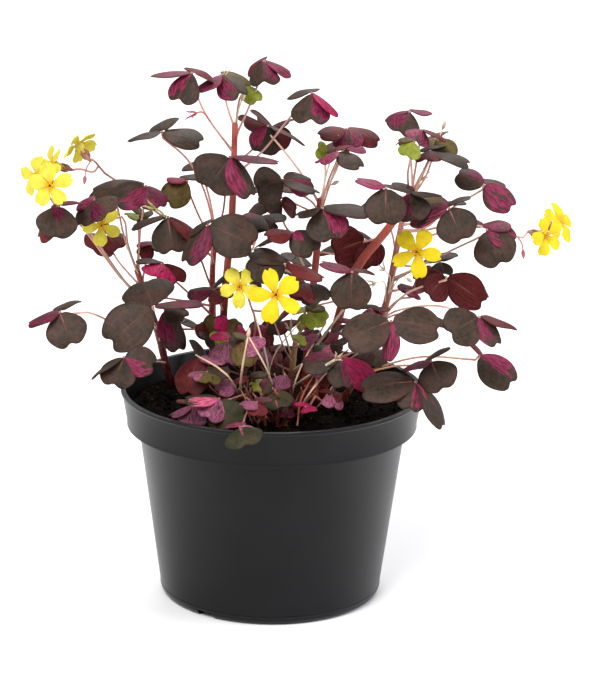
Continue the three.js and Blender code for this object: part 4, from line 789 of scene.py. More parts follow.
# The blooms. Each has the stem that its stalk leaves and the share of the stem's length, or another
# bloom and the step of its stalk; the places that its stalk passes; its throat; a place ahead of it on
# its axis; the length of its petals; how far they open from the axis in degrees; and its turn.
BLOOMS = {
    "bloom_left_high": (("leafy_stem_slim", 0.62),
        [(190, 240, -8), (155, 211, -12), (118, 182, -14), (102, 171, -9), (94, 160, -3)],
        (79, 145, 5), (70, 132, 0), 8.5, 98, 10),
    "bloom_left_middle": (("bloom_left_high", 4), [(92, 172, -14), (80, 169, -14)],
        (53, 164, -12), (40, 160, -9), 8.5, 80, 20),
    "bloom_left_outer": (("leafy_stem_left", 0.78),
        [(127, 284, -4), (84, 226, -6), (62, 213, 0), (48, 195, 2)],
        (37, 176, 5), (24, 172, 10), 8.5, 85, 0),
    "bloom_left_front": (("bloom_left_outer", 4), [(60, 209, 7)],
        (50, 186, 37), (46, 184, 54), 9.0, 86, -14),
    "bloom_left_low": (("leafy_stem_left", 0.96), [(128, 245, -6), (122, 217, 0)],
        (102, 225, 10), (92, 232, 28), 8.5, 84, 12),
    "bloom_centre_left": (("tuft_left", 0.97), [(253, 342, 4), (255, 318, 15), (249, 301, 20)],
        (240, 287, 25), (226, 284, 42), 9.0, 82, 20),
    "bloom_centre_right": (("bloom_centre_left", 4), [(262, 311, 22), (270, 306, 27)],
        (276, 295, 38), (273, 291, 58), 10.8, 86, 2),
    "bloom_right_middle": (("leafy_stem_right", 0.64), [(410, 271, -2), (422, 265, 10)],
        (417, 252, 24), (408, 248, 42), 10.0, 84, 30),
    "bloom_right_inner": (("leafy_stem_right", 0.93),
        [(415, 232, -12), (440, 227, -12), (470, 225, -8), (500, 231, -4), (522, 238, 0)],
        (545, 236, 3), (560, 240, 9), 8.5, 76, 0),
    "bloom_right_outer": (("bloom_right_inner", 5), [(535, 234, -8)],
        (560, 222, -12), (576, 215, -8), 9.0, 92, 30),
}


# Places in the picture and along curves


def at(place):
    """A place in the picture as a point in millimetres."""
    across, down, toward = place
    x = across - PICTURE_CENTRE[0]
    y = down - PICTURE_CENTRE[1]
    right = (x * math.cos(ROLL) + y * math.sin(ROLL)) / FOCAL_PIXELS
    below = (y * math.cos(ROLL) - x * math.sin(ROLL)) / FOCAL_PIXELS
    ahead = math.cos(PITCH) - below * math.sin(PITCH)
    sight = Vector((right, ahead, -math.sin(PITCH) - below * math.cos(PITCH)))
    return EYE + sight * ((-toward - EYE.y) / sight.y)


def curve_through(places):
    """Close points on a smooth curve through the places, which bends no wider at long gaps."""
    first = places[0] * 2 - places[1]
    last = places[-1] * 2 - places[-2]
    held = [first, *places, last]
    steps = CURVE_STEPS // (len(places) - 1)
    line = []
    for before, start, end, after in zip(held, held[1:], held[2:], held[3:]):
        back, gap, on = (math.sqrt((b - a).length) for a, b in ((before, start), (start, end), (end, after)))
        leave = ((start - before) / back - (end - before) / (back + gap) + (end - start) / gap) * gap
        arrive = ((end - start) / gap - (after - start) / (gap + on) + (after - end) / on) * gap
        square = end * 3 - start * 3 - leave * 2 - arrive
        cube = start * 2 - end * 2 + leave + arrive
        for i in range(steps):
            t = i / steps
            line.append(start + leave * t + square * t ** 2 + cube * t ** 3)
    return [*line, places[-1].copy()]


def share_of(line, share):
    """The point at a share of a line's length."""
    lengths = [(b - a).length for a, b in zip(line, line[1:])]
    left = share * sum(lengths)
    for start, end, length in zip(line, line[1:], lengths):
        if left <= length:
            return start.lerp(end, left / length if length else 0)
        left -= length
    return line[-1].copy()


def spaced(line, steps):
    return [share_of(line, i / steps) for i in range(steps + 1)]


def outward(axis, count, shift=0):
    """Even directions round an axis, each square to it."""
    for k in range(count):
        yield Matrix.Rotation(2 * math.pi * (k + shift) / count, 3, axis) @ axis.orthogonal().normalized()


def bent(foot, axis, out, bend, length=1):
    """A line from a foot, whose places are given ahead along an axis and aside from it."""
    return [foot + axis * (ahead * length) + out * (aside * length) for ahead, aside in bend]


def stem_curve(name):
    return curve_through([at(place) for place in STEMS[name][0]])


def leaf_curve(name, leaf, axis):
    share, hub_place, past, _ = leaf
    start = share_of(stem_curve(name), share)
    return curve_through([start, *map(at, past), at(hub_place) - axis * HUB_NECK])


def bloom_hub(name):
    _, _, throat, *_ = BLOOMS[name]
    return at(throat)


def bloom_axis(name):
    _, _, _, ahead, *_ = BLOOMS[name]
    return (at(ahead) - bloom_hub(name)).normalized()


def calyx_top(name):
    return bloom_hub(name) - bloom_axis(name) * (TUBE_LENGTH + BLOOM_GAP)


def bloom_stem(name):
    """The stem that a bloom grows from, also by way of another bloom's stalk."""
    (source, _), *_ = BLOOMS[name]
    return bloom_stem(source) if source in BLOOMS else source


def pedicel_curve(name):
    """A bloom's stalk leaves its stem at a share of its length, or another bloom's stalk at a step."""
    (source, place), past, *_ = BLOOMS[name]
    if source in BLOOMS:
        start = share_of(pedicel_curve(source), place / PEDICEL_STEPS)
    else:
        start = share_of(stem_curve(source), place)
    end = calyx_top(name) - bloom_axis(name) * CALYX_LENGTH
    return curve_through([start, *map(at, past), end])


# Making and finishing meshes


def new_mesh():
    """An empty mesh with the marks that its finish reads."""
    form = bmesh.new()
    form.loops.layers.uv.new("blade")
    for mark in ("upper", "lower", "splash"):
        form.verts.layers.float_color.new(mark)
    form.verts.layers.float_vector.new("marks")
    form.verts.layers.float.new("seed")
    return form


def paint(form, verts, upper, lower=None, splash=None, marks=(0, 0, 0), seed=0.0):
    colours = form.verts.layers.float_color
    for vert in verts:
        vert[colours["upper"]] = upper
        vert[colours["lower"]] = lower or upper
        vert[colours["splash"]] = splash or upper
        vert[form.verts.layers.float_vector["marks"]] = Vector(marks)
        vert[form.verts.layers.float["seed"]] = seed


def shaded(tone, share):
    return tuple(min(1, value * share) for value in tone[:3]) + (1,)


def mixed(first, second, share):
    return tuple(a + (b - a) * share for a, b in zip(first, second))


def turned_to(axis, centre, radius, stretch=1.0):
    """What puts a form of radius 1 at a centre, drawn out along an axis by the stretch."""
    turn = UP.rotation_difference(axis).to_matrix().to_4x4()
    size = Matrix.Diagonal((radius, radius, radius * stretch, 1))
    return Matrix.Translation(centre) @ turn @ size


def add_tube(form, line, radii, sides, foot_colour, top_colour, axis=None):
    """A closed tube along a line, as thick as the radii say. Its rings stay square to an axis, if given."""
    tangents = [
        axis or (line[min(i + 1, len(line) - 1)] - line[max(i - 1, 0)]).normalized()
        for i in range(len(line))
    ]
    place = turned_to(tangents[0], line[0], radii[0])
    ring = bmesh.ops.create_circle(form, cap_ends=True, segments=sides, radius=1, matrix=place)["verts"]
    paint(form, ring, foot_colour)
    edges = list({edge for vert in ring for edge in vert.link_edges})
    for i in range(1, len(line)):
        grown = bmesh.ops.extrude_edge_only(form, edges=edges)["geom"]
        ring = {item for item in grown if isinstance(item, bmesh.types.BMVert)}
        edges = [
            item for item in grown
            if isinstance(item, bmesh.types.BMEdge) and ring.issuperset(item.verts)
        ]
        turn = tangents[i - 1].rotation_difference(tangents[i]).to_matrix().to_4x4()
        growth = Matrix.Scale(radii[i] / radii[i - 1], 4)
        step = Matrix.Translation(line[i]) @ turn @ growth @ Matrix.Translation(-line[i - 1])
        bmesh.ops.transform(form, matrix=step, verts=list(ring))
        paint(form, ring, mixed(foot_colour, top_colour, i / (len(line) - 1)))
    bmesh.ops.holes_fill(form, edges=edges, sides=0)


def add_bead(form, centre, radius, tone, stretch=1.0, axis=UP):
    """A small round body, drawn out along an axis."""
    place = turned_to(axis, centre, radius, stretch)
    paint(form, bmesh.ops.create_icosphere(form, subdivisions=1, radius=1, matrix=place)["verts"], tone)


def as_mesh(name, form, materials=()):
    mesh = bpy.data.meshes.new(name)
    form.to_mesh(mesh)
    form.free()
    for material in materials:
        mesh.materials.append(material)
    return mesh


def in_scene(name, data):
    made = bpy.data.objects.new(name, data)
    bpy.context.scene.collection.objects.link(made)
    return made


def finished(name, form, materials, slot, *nodes):
    """The mesh as a smooth piece of the object, in metres, which rides on the body."""
    bmesh.ops.scale(form, vec=(MM, MM, MM), verts=form.verts)
    mesh = as_mesh(name, form, materials)
    mesh.shade_smooth()
    piece = in_scene(name, mesh)
    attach(piece, "root")
    if nodes:
        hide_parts(*nodes)
    return piece


def thicken(piece, thickness):
    """Gives a sheet its thickness, its lower face in the next material, and a round edge."""
    wall = piece.modifiers.new("thickness", "SOLIDIFY")
    wall.thickness = thickness * MM
    wall.offset = 0
    wall.material_offset = 1
    rounding = piece.modifiers.new("rounding", "SUBSURF")
    rounding.levels = 1
    rounding.render_levels = 1


# Blades: leaflets and petals, arched along their length and folded along their midrib


def half_width(form, along):
    if along < form["widest"]:
        return 0.5 * math.sin(math.pi / 2 * along / form["widest"]) ** form["taper"]
    past = (along - form["widest"]) / (1 - form["widest"])
    return 0.5 * math.cos(math.radians(form["end_angle"]) * past)


def reach(form, across):
    notch = form["notch"] * math.exp(-((across / form["notch_spread"]) ** 2))
    return 1 - notch - form["shoulder"] * abs(across) ** 3


def blade_point(blade, u, v):
    """The point of a blade at a share across and a share along, with its ragged edge and its waves."""
    form = blade["form"]
    length = blade["length"]
    ragged = blade["ragged"]
    phase = blade["phase"]
    x = u * half_width(form, v) * blade["width"] * (1 + ragged * math.sin(SIDE_RIPPLES * v + phase))
    y = v * reach(form, u) + ragged * v ** 3 * math.sin(END_RIPPLES * u + 3 * phase)
    rise = length * (form["arch"] * 4 * y * (1 - y) - blade["droop"] * y ** 3)
    folded = math.sqrt(x ** 2 + FOLD_ROUNDING ** 2) - FOLD_ROUNDING
    wave = blade["wave"] * u ** 2 * math.sin(math.pi * (EDGE_WAVES * v + phase + WAVE_SLANT * u))
    twist = Matrix.Rotation(blade["twist"] * y, 3, blade["along"])
    across = blade["side"] * (x * math.cos(blade["fold"]))
    up = blade["normal"] * (wave - folded * math.sin(blade["fold"]))
    return blade["hub"] + blade["along"] * (y * length) + blade["normal"] * rise + twist @ (across + up)


def add_blade(form, blade, columns, rows):
    made = bmesh.ops.create_grid(form, x_segments=columns, y_segments=rows, size=0.5, calc_uvs=True)["verts"]
    for vert in made:
        v = BLADE_FOOT + (1 - BLADE_FOOT) * (vert.co.y + 0.5)
        vert.co = blade_point(blade, 2 * vert.co.x, v)
    return made


def leaflet(hub_place, across, down, toward, turn, width, fold):
    """A leaflet's form; its normal leans from the viewer up to the sky by its turn."""
    hub = at(hub_place)
    tip = at((across, down, hub_place[2] + toward))
    along = (tip - hub).normalized()
    facing = (EYE - hub).normalized()
    facing = (facing - along * facing.dot(along)).normalized()
    upward = along.cross(facing)
    if upward.z < 0:
        upward.negate()
    normal = facing * math.cos(math.radians(turn)) + upward * math.sin(math.radians(turn))
    notch = chance.uniform(*LEAF_NOTCHES)
    shoulder = chance.uniform(*LEAF_SHOULDERS)
    return {
        "form": {**LEAFLET, "notch": notch, "shoulder": shoulder},
        "hub": hub,
        "along": along,
        "normal": normal,
        "side": along.cross(normal),
        "length": (tip - hub).length,
        "width": width,
        "fold": math.radians(fold),
        "wave": chance.uniform(*LEAF_WAVES),
        "phase": chance.uniform(*PHASES),
        "twist": chance.uniform(*LEAF_TWISTS),
        "droop": chance.uniform(*LEAF_DROOPS),
        "ragged": LEAF_RAGGED,
    }


def leaf_axis(leaf):
    """The way that a leaf faces: the middle of its leaflets' normals."""
    _, hub_place, _, leaflets = leaf
    blades = [leaflet(hub_place, *given) for *given, _ in leaflets]
    return sum((blade["normal"] for blade in blades), Vector()).normalized()


# Finishes


class Finish:
    """The nodes of one material, on Blender's own plain shader."""

    def __init__(self, name, roughness, gloss=0.5):
        self.material = bpy.data.materials.new(name)
        self.material.use_nodes = True
        self.tree = self.material.node_tree
        self.shader = self.tree.nodes["Principled BSDF"]
        self.shader.inputs["Roughness"].default_value = roughness
        self.shader.inputs["Specular IOR Level"].default_value = gloss
        self.place = self.node("ShaderNodeTexCoord").outputs["Object"]

    def node(self, kind, **settings):
        made = self.tree.nodes.new(kind)
        for name, value in settings.items():
            setattr(made, name, value)
        return made

    def feed(self, socket, value):
        if isinstance(value, bpy.types.NodeSocket):
            self.tree.links.new(value, socket)
        else:
            socket.default_value = value

    def calc(self, operation, *values):
        made = self.node("ShaderNodeMath", operation=operation)
        for socket, value in zip(made.inputs, values):
            self.feed(socket, value)
        return made.outputs[0]

    def times(self, first, second):
        return self.calc("MULTIPLY", first, second)

    def rest(self, share):
        """What a share leaves of the whole."""
        return self.calc("SUBTRACT", 1.0, share)

    def ramp(self, value, low, high):
        """0 below low and 1 above high, with a soft step between."""
        made = self.node("ShaderNodeMapRange", interpolation_type="SMOOTHSTEP")
        for name, given in (("Value", value), ("From Min", low), ("From Max", high)):
            self.feed(made.inputs[name], given)
        return made.outputs[0]

    def noise(self, scale, detail=2.0, where=None):
        made = self.node("ShaderNodeTexNoise")
        self.feed(made.inputs["Vector"], where or self.place)
        made.inputs["Scale"].default_value = scale
        made.inputs["Detail"].default_value = detail
        return made.outputs["Fac"]

    def blend(self, share, first, second, kind="MIX"):
        made = self.node("ShaderNodeMix", data_type="RGBA", blend_type=kind)
        for number, given in ((0, share), (6, first), (7, second)):
            self.feed(made.inputs[number], given)
        return made.outputs[2]

    def darker(self, ground, tint):
        return self.blend(1.0, ground, tint, "MULTIPLY")

    def layer(self, under, value, soft_step, over):
        """A colour laid over another where a value passes its soft step, up to a share."""
        low, high, share = soft_step
        return self.blend(self.times(self.ramp(value, low, high), share), under, over)

    def mark(self, name, output="Color"):
        return self.node("ShaderNodeAttribute", attribute_name=name).outputs[output]

    def parts(self, vector):
        made = self.node("ShaderNodeSeparateXYZ")
        self.feed(made.inputs[0], vector)
        return made.outputs

    def blade_shares(self):
        """The shares across and along a blade, each from 0 to 1."""
        across, along, _ = self.parts(self.node("ShaderNodeUVMap", uv_map="blade").outputs["UV"])
        return across, along

    def fan(self, across, along):
        """A place on a blade that makes noise run in streaks, different on each blade."""
        made = self.node("ShaderNodeCombineXYZ")
        for socket, value in zip(made.inputs, (across, along, self.mark("seed", "Fac"))):
            self.feed(socket, value)
        return made.outputs[0]

    def bump(self, height, strength, distance):
        made = self.node("ShaderNodeBump")
        made.inputs["Strength"].default_value = strength
        made.inputs["Distance"].default_value = distance
        self.feed(made.inputs["Height"], height)
        self.feed(self.shader.inputs["Normal"], made.outputs[0])

    def colour(self, value):
        self.feed(self.shader.inputs["Base Color"], value)


def leaf_veins(finish, across, along, wobble, blots):
    """Thin veins that fan from the hub and fade in places."""
    bent = finish.calc("MULTIPLY_ADD", wobble, VEIN_WANDER, finish.times(across, VEIN_COUNT))
    wave = finish.calc("COSINE", finish.times(bent, 2 * math.pi))
    veins = finish.times(finish.ramp(wave, *VEIN_EDGE), finish.ramp(along, *VEIN_START))
    return finish.times(veins, finish.ramp(blots, *VEIN_FADE))


def leaf_midrib(finish, side, along):
    """The midrib, which ends before the leaflet does."""
    return finish.times(
        finish.rest(finish.ramp(side, *MIDRIB_EDGE)),
        finish.rest(finish.ramp(along, *MIDRIB_END)),
    )


def leaf_splashes(finish, off, side, along, streaks, wobble):
    """Where the splash colour lies: on one half, in streaks, and round the hub."""
    half, cover, streak = finish.parts(finish.mark("marks", "Vector"))
    on_half = finish.calc("MULTIPLY_ADD", off, half, finish.times(wobble, HALF_WOBBLE))
    on_half = finish.times(finish.ramp(on_half, *HALF_EDGE), finish.calc("ABSOLUTE", half))
    far = finish.calc("MULTIPLY_ADD", wobble, HALF_END_WOBBLE, along)
    on_half = finish.times(on_half, finish.rest(finish.ramp(far, *HALF_END)))
    level = finish.calc("MULTIPLY_ADD", cover, *STREAK_LEVEL)
    in_streaks = finish.ramp(streaks, level, finish.calc("ADD", level, STREAK_EDGE))
    narrowing = finish.times(streak, finish.rest(finish.times(along, HUB_STREAK_TAPER)))
    at_hub = finish.ramp(finish.calc("SUBTRACT", narrowing, side), *HUB_STREAK_EDGE)
    return finish.calc("MAXIMUM", finish.calc("MAXIMUM", on_half, in_streaks), at_hub)


def leaf_finish(name, ground_mark, roughness, splash_share, vein_light, rib_light):
    """A leaf's face: veins that fan from its hub, mottling, and splashes in streaks or on one half."""
    finish = Finish(name, roughness, LEAF_GLOSS)
    across, along = finish.blade_shares()
    off = finish.calc("SUBTRACT", across, 0.5)
    side = finish.times(finish.calc("ABSOLUTE", off), 2.0)
    ground = finish.mark(ground_mark)
    splash = finish.mark("splash")
    fan = finish.fan(finish.times(across, LEAF_FAN), along)
    mottle = finish.noise(620, 4)
    cloud = finish.noise(150, 3)
    streaks = finish.noise(2.2, 4, fan)
    blots = finish.noise(5, 4, fan)
    wobble = finish.calc("SUBTRACT", streaks, 0.5)
    veins = leaf_veins(finish, across, along, wobble, blots)
    midrib = leaf_midrib(finish, side, along)

    body = finish.layer(ground, mottle, LEAF_MOTTLE, finish.darker(ground, LEAF_MOTTLE_TINT))
    body = finish.layer(body, cloud, LEAF_CLOUD, finish.blend(1.0, ground, LEAF_CLOUD_TINT, "ADD"))
    pale_vein = finish.blend(0.3, ground, VEIN_TINT)
    body = finish.blend(finish.times(veins, vein_light), body, pale_vein)
    body = finish.blend(finish.times(midrib, rib_light), body, RIB)

    dark_splash = finish.darker(splash, SPLASH_TINT)
    shade = finish.layer(splash, blots, SPLASH_BLOTS, dark_splash)
    shade = finish.blend(finish.times(veins, SPLASH_VEINS), shade, dark_splash)
    splashed = leaf_splashes(finish, off, side, along, streaks, wobble)
    body = finish.blend(finish.times(splashed, splash_share), body, shade)

    finish.colour(finish.layer(body, finish.calc("MAXIMUM", side, along), LEAF_EDGE, DARK_WINE))
    height = finish.calc("MULTIPLY_ADD", veins, VEIN_RELIEF, finish.times(mottle, MOTTLE_RELIEF))
    finish.bump(finish.calc("SUBTRACT", height, midrib), 0.4, 0.0002)
    return finish.material


def stalk_finish():
    """Stems and stalks: their own colour, with a fine pale grain and darker patches."""
    finish = Finish("stalk_skin", 0.42, 0.35)
    ground = finish.mark("upper")
    grain = finish.noise(900, 3)
    body = finish.layer(ground, finish.noise(90, 3), STALK_PATCHES, finish.darker(ground, STALK_PATCH_TINT))
    finish.colour(finish.layer(body, grain, STALK_GRAIN, finish.blend(0.4, ground, STALK_GRAIN_TINT)))
    finish.bump(grain, 0.3, 0.0002)
    return finish.material


def petal_finish():
    """Petals: clear yellow, with thin brown lines that fan out of the throat."""
    finish = Finish("petal_skin", 0.6, 0.2)
    across, along = finish.blade_shares()
    silk = finish.noise(6, 2, finish.fan(finish.times(across, 5), finish.times(along, 1.2)))
    ground = finish.mark("upper")
    yellow = finish.layer(ground, finish.noise(260, 3), PETAL_CLOUD, finish.darker(ground, PETAL_CLOUD_TINT))
    yellow = finish.layer(yellow, silk, PETAL_SILK, finish.darker(ground, PETAL_SILK_TINT))
    yellow = finish.blend(finish.rest(finish.ramp(along, *PETAL_THROAT_END)), yellow, PETAL_THROAT)
    wave = finish.calc("COSINE", finish.times(across, 2 * math.pi * PETAL_LINE_COUNT))
    lines = finish.times(
        finish.ramp(wave, *PETAL_LINE_EDGE),
        finish.rest(finish.ramp(along, *PETAL_LINE_END)),
    )
    finish.colour(finish.blend(finish.times(lines, 0.5), yellow, PETAL_LINES))
    finish.bump(silk, 0.3, 0.0002)
    return finish.material


def pot_finish():
    """Black moulded plastic with a satin skin and faint swirls of flow."""
    finish = Finish("black_plastic", 0.36, POT_GLOSS)
    flow = finish.noise(34, 4)
    finish.colour(finish.blend(finish.ramp(flow, *POT_FLOW), POT_BLACK, POT_FLOW_BLACK))
    rough = finish.node("ShaderNodeMapRange")
    finish.feed(rough.inputs["Value"], flow)
    rough.inputs["To Min"].default_value, rough.inputs["To Max"].default_value = POT_ROUGHNESS
    finish.feed(finish.shader.inputs["Roughness"], rough.outputs[0])
    finish.bump(finish.noise(1400, 2), 0.12, 0.0001)
    return finish.material


def soil_finish():
    """Moist peat: near black, darkened further as painted shade of the rim, with brown fibres and grains."""
    finish = Finish("peat", 0.95, 0.04)
    grains = finish.noise(700, 5)
    body = finish.blend(finish.ramp(finish.noise(160, 3), *SOIL_LUMPS), SOIL_BLACK_AND_RIM_SHADE, SOIL_LUMP_BLACK_AND_RIM_SHADE)
    finish.colour(finish.layer(body, grains, SOIL_GRIT, finish.mark("upper")))
    finish.bump(grains, 0.9, 0.0008)
    return finish.material


leaf_top = leaf_finish(
    "leaf_upper_face", "upper", roughness=0.5, splash_share=1.0, vein_light=0.12, rib_light=0.14)
leaf_back = leaf_finish(
    "leaf_lower_face", "lower", roughness=0.55, splash_share=0.55, vein_light=0.3, rib_light=0.6)
stalk_skin = stalk_finish()
petal_skin = petal_finish()
black_plastic = pot_finish()
peat = soil_finish()


# Pot: one moulded shell, with drain notches round its foot


def spin_round(form, profile, steps):
    """Turns a profile of radii and heights into a closed round body."""
    corners = [form.verts.new((radius, 0, height)) for radius, height in profile]
    for start, end in zip(corners, corners[1:]):
        form.edges.new((start, end))
    outline = form.verts[:] + form.edges[:]
    bmesh.ops.spin(form, geom=outline, axis=UP, angle=2 * math.pi, steps=steps, use_merge=True)
    bmesh.ops.remove_doubles(form, verts=form.verts, dist=0.001)
    bmesh.ops.recalc_face_normals(form, faces=form.faces)


def base_corner():
    """The rounded corner between the pot's underside and its wall."""
    for i in range(BASE_CORNER_STEPS + 1):
        angle = math.pi / 2 * i / BASE_CORNER_STEPS
        radius = BASE_RADIUS - BASE_CORNER + BASE_CORNER * math.sin(angle)
        yield radius, BASE_CORNER - BASE_CORNER * math.cos(angle)


def notch_cutter():
    form = bmesh.new()
    size = Matrix.Diagonal((NOTCH_DEPTH, NOTCH_WIDTH, 2 * NOTCH_HEIGHT, 1))
    for k in range(NOTCH_COUNT):
        turn = Matrix.Rotation(math.radians(NOTCH_ANGLE + 360 * k / NOTCH_COUNT), 4, "Z")
        place = turn @ Matrix.Translation((BASE_RADIUS, 0, 0)) @ size
        bmesh.ops.create_cube(form, size=1, matrix=place)
    bmesh.ops.scale(form, vec=(MM, MM, MM), verts=form.verts)
    return in_scene("notch_cutter", as_mesh("notch_cutter", form))


def make_pot():
    step = POT_HEIGHT - BAND_HEIGHT
    form = new_mesh()
    spin_round(form, [
        (0, 0),
        *base_corner(),
        (BASE_RADIUS + RIDGE, BASE_CORNER + RIDGE),
        (BASE_RADIUS + RIDGE, BASE_CORNER + 3 * RIDGE),
        (BASE_RADIUS + 0.5 * RIDGE, BASE_CORNER + 4 * RIDGE),
        (BODY_TOP_RADIUS, step),
        (BAND_FOOT_RADIUS + RIDGE, step),
        (BAND_FOOT_RADIUS + RIDGE, step + 4 * RIDGE),
        (BAND_FOOT_RADIUS + 0.4 * RIDGE, step + 6 * RIDGE),
        (RIM_RADIUS - LIP_STEP, POT_HEIGHT - LIP_HEIGHT),
        (RIM_RADIUS, POT_HEIGHT - LIP_STEP * LIP_HEIGHT),
        (RIM_RADIUS, POT_HEIGHT),
        (RIM_RADIUS - LIP_WIDTH, POT_HEIGHT),
        (BAND_FOOT_RADIUS - WALL, step + WALL),
        (BODY_TOP_RADIUS - WALL, step + WALL),
        (BASE_RADIUS - WALL, BASE_CORNER),
        (BASE_RADIUS - WALL - 1, FLOOR),
        (0, FLOOR),
    ], POT_STEPS)
    pot = finished("pot_shell", form, [black_plastic], "pot", "pot")

    cutter = notch_cutter()
    cut = pot.modifiers.new("notches", "BOOLEAN")
    cut.operation = "DIFFERENCE"
    cut.object = cutter
    bpy.context.view_layer.update()
    with_notches = bpy.data.meshes.new_from_object(pot.evaluated_get(bpy.context.evaluated_depsgraph_get()))
    pot.modifiers.clear()
    pot.data = with_notches
    bpy.data.objects.remove(cutter)
    soft = pot.modifiers.new("soft_edges", "BEVEL")
    soft.width = SOFT_EDGE * MM
    soft.segments = 2
    soft.limit_method = "ANGLE"
    soft.angle_limit = math.radians(SOFT_EDGE_ANGLE)


# Soil: an uneven top of crumbs and fibres, down to its edge under the rim


def soil_height(x, y):
    """The height of the soil's top: two slow waves across it, and finer unevenness."""
    waves = 0.5 * math.sin(0.21 * x + 0.5) * math.cos(0.17 * y) + 0.5 * math.sin(0.43 * x - 0.37 * y)
    rough = noise.fractal(Vector((x, y, 3)) * 0.16, 0.8, 2.1, 5)
    return SOIL_TOP + SOIL_BUMP * waves + SOIL_ROUGH * rough


def make_soil_top():
    form = new_mesh()
    foot = SOIL_TOP - SOIL_DEPTH
    rim = [(SOIL_EDGE * i / SOIL_RINGS, SOIL_TOP) for i in range(SOIL_RINGS + 1)]
    spin_round(form, [*rim, (SOIL_EDGE - SOIL_TAPER, foot), (0, foot)], SOIL_STEPS)
    for vert in form.verts:
        if vert.co.z > SOIL_TOP - 0.01:
            vert.co.z = soil_height(vert.co.x, vert.co.y)
    paint(form, form.verts, SOIL_BROWNS[0])
    for _ in range(CRUMB_COUNT):
        radius = SOIL_EDGE * math.sqrt(chance.random()) * CRUMB_REACH
        angle = chance.uniform(0, 2 * math.pi)
        x = radius * math.cos(angle)
        y = radius * math.sin(angle)
        size = chance.uniform(*CRUMB_RADII)
        axis = Vector([chance.uniform(-1, 1) for _ in range(3)]).normalized()
        centre = Vector((x, y, soil_height(x, y) + CRUMB_RISE * size))
        add_bead(form, centre, size, chance.choice(SOIL_BROWNS), chance.uniform(*CRUMB_STRETCHES), axis)
    finished("soil_top", form, [peat], "soil", "soil")


def make_soil_fibres():
    form = new_mesh()
    inside = SOIL_EDGE - 1
    for _ in range(FIBRE_COUNT):
        radius = SOIL_EDGE * math.sqrt(chance.random()) * FIBRE_REACH
        angle = chance.uniform(0, 2 * math.pi)
        heading = chance.uniform(0, 2 * math.pi)
        bend = chance.uniform(*FIBRE_BENDS)
        length = chance.uniform(*FIBRE_LENGTHS)
        line = []
        for i in range(FIBRE_STEPS + 1):
            share = i / FIBRE_STEPS
            x = radius * math.cos(angle) + length * (share - 0.5) * math.cos(heading + bend * share)
            y = radius * math.sin(angle) + length * (share - 0.5) * math.sin(heading + bend * share)
            if math.hypot(x, y) > inside:
                x *= inside / math.hypot(x, y)
                y *= inside / math.hypot(x, y)
            rise = FIBRE_RISE + FIBRE_ARCH * math.sin(math.pi * share)
            line.append(Vector((x, y, soil_height(x, y) + rise)))
        tone = chance.choice(SOIL_BROWNS)
        radii = [chance.uniform(*FIBRE_RADII)] * len(line)
        add_tube(form, line, radii, THREAD_SIDES, tone, tone)
    finished("soil_fibres", form, [peat], "soil", "soil")


# Leafy stems


def stalk_radii(count, foot, middle, top):
    """Radii along a stalk, which swells over its first fifth and its last."""
    radii = []
    for i in range(count):
        share = i / (count - 1)
        swell = max(0, 1 - share * 5) * (foot - middle) + max(0, share * 5 - 4) * (top - middle)
        radii.append(middle + swell)
    return radii


def make_stem(name):
    form = new_mesh()
    route, thick_foot, thick_top = STEMS[name]
    foot_colour, top_colour, stalk_colour = STEM_COLOURS.get(name, STEM_COLOURS[""])
    foot = at(route[0])
    foot.z = SOIL_TOP + FOOT_RISE
    root = Vector((foot.x, foot.y, SOIL_TOP - FOOT_DEPTH))
    above = [point for point in spaced(stem_curve(name), STEM_STEPS) if point.z > foot.z + 1]
    line = [root, foot, *above]
    radii = [
        (thick_foot + (thick_top - thick_foot) * i / (len(line) - 1)) / 2 * chance.uniform(*STEM_SWELLS)
        for i in range(len(line))
    ]
    add_tube(form, line, radii, STEM_SIDES, foot_colour, top_colour)
    add_bead(form, line[-1], radii[-1], top_colour)

    for leaf in LEAVES[name]:
        axis = leaf_axis(leaf)
        stalk = spaced(leaf_curve(name, leaf, axis), STALK_STEPS)
        _, hub_place, *_ = leaf
        hub = at(hub_place)
        stalk.append(hub - axis * STALK_END)
        tone = shaded(stalk_colour, chance.uniform(*STALK_SHADES))
        radii = stalk_radii(len(stalk), STALK_RADIUS_FOOT, STALK_RADIUS_MIDDLE, STALK_RADIUS_TOP)
        add_tube(form, stalk, radii, STALK_SIDES, mixed(top_colour, tone, 0.8), tone)
        add_bead(form, hub, HUB_RADIUS, mixed(tone, WINE, 0.5), 0.7, axis)

    for bloom in BLOOMS:
        if bloom_stem(bloom) == name:
            add_calyx(form, bloom, stalk_colour)
    finished(name + "_stalks", form, [stalk_skin], "leaf", name)


def make_leaves(name):
    form = new_mesh()
    for _, hub_place, _, leaflets in LEAVES[name]:
        for number, (*given, word) in enumerate(leaflets):
            blade = leaflet(hub_place, *given)
            upper, lower, splash, cover, streak = FINISHES[word]
            blade["hub"] = blade["hub"] + blade["normal"] * (LEAFLET_LIFT * number)
            toward_right = 1 if blade["side"].x > 0 else -1
            half = 2 * HALVES.get(word, 0) * toward_right
            verts = add_blade(form, blade, BLADE_COLUMNS, BLADE_ROWS)
            # Painted light and shade: the leaf's faces and splashes are darkened or lightened as if it were
            # lit more or less
            light = chance.uniform(*LEAF_PAINTED_LIGHT_SHARES)
            marks = (half, cover * chance.uniform(*COVER_SHARES), streak)
            deep = shaded(splash, chance.uniform(*SPLASH_PAINTED_LIGHT_SHARES))
            seed = chance.uniform(*SEEDS)
            paint(form, verts, shaded(upper, light), shaded(lower, light), deep, marks, seed)
    leaves = finished(name + "_leaves", form, [leaf_top, leaf_back], "leaf", name)
    thicken(leaves, BLADE_THICK)


# Blooms


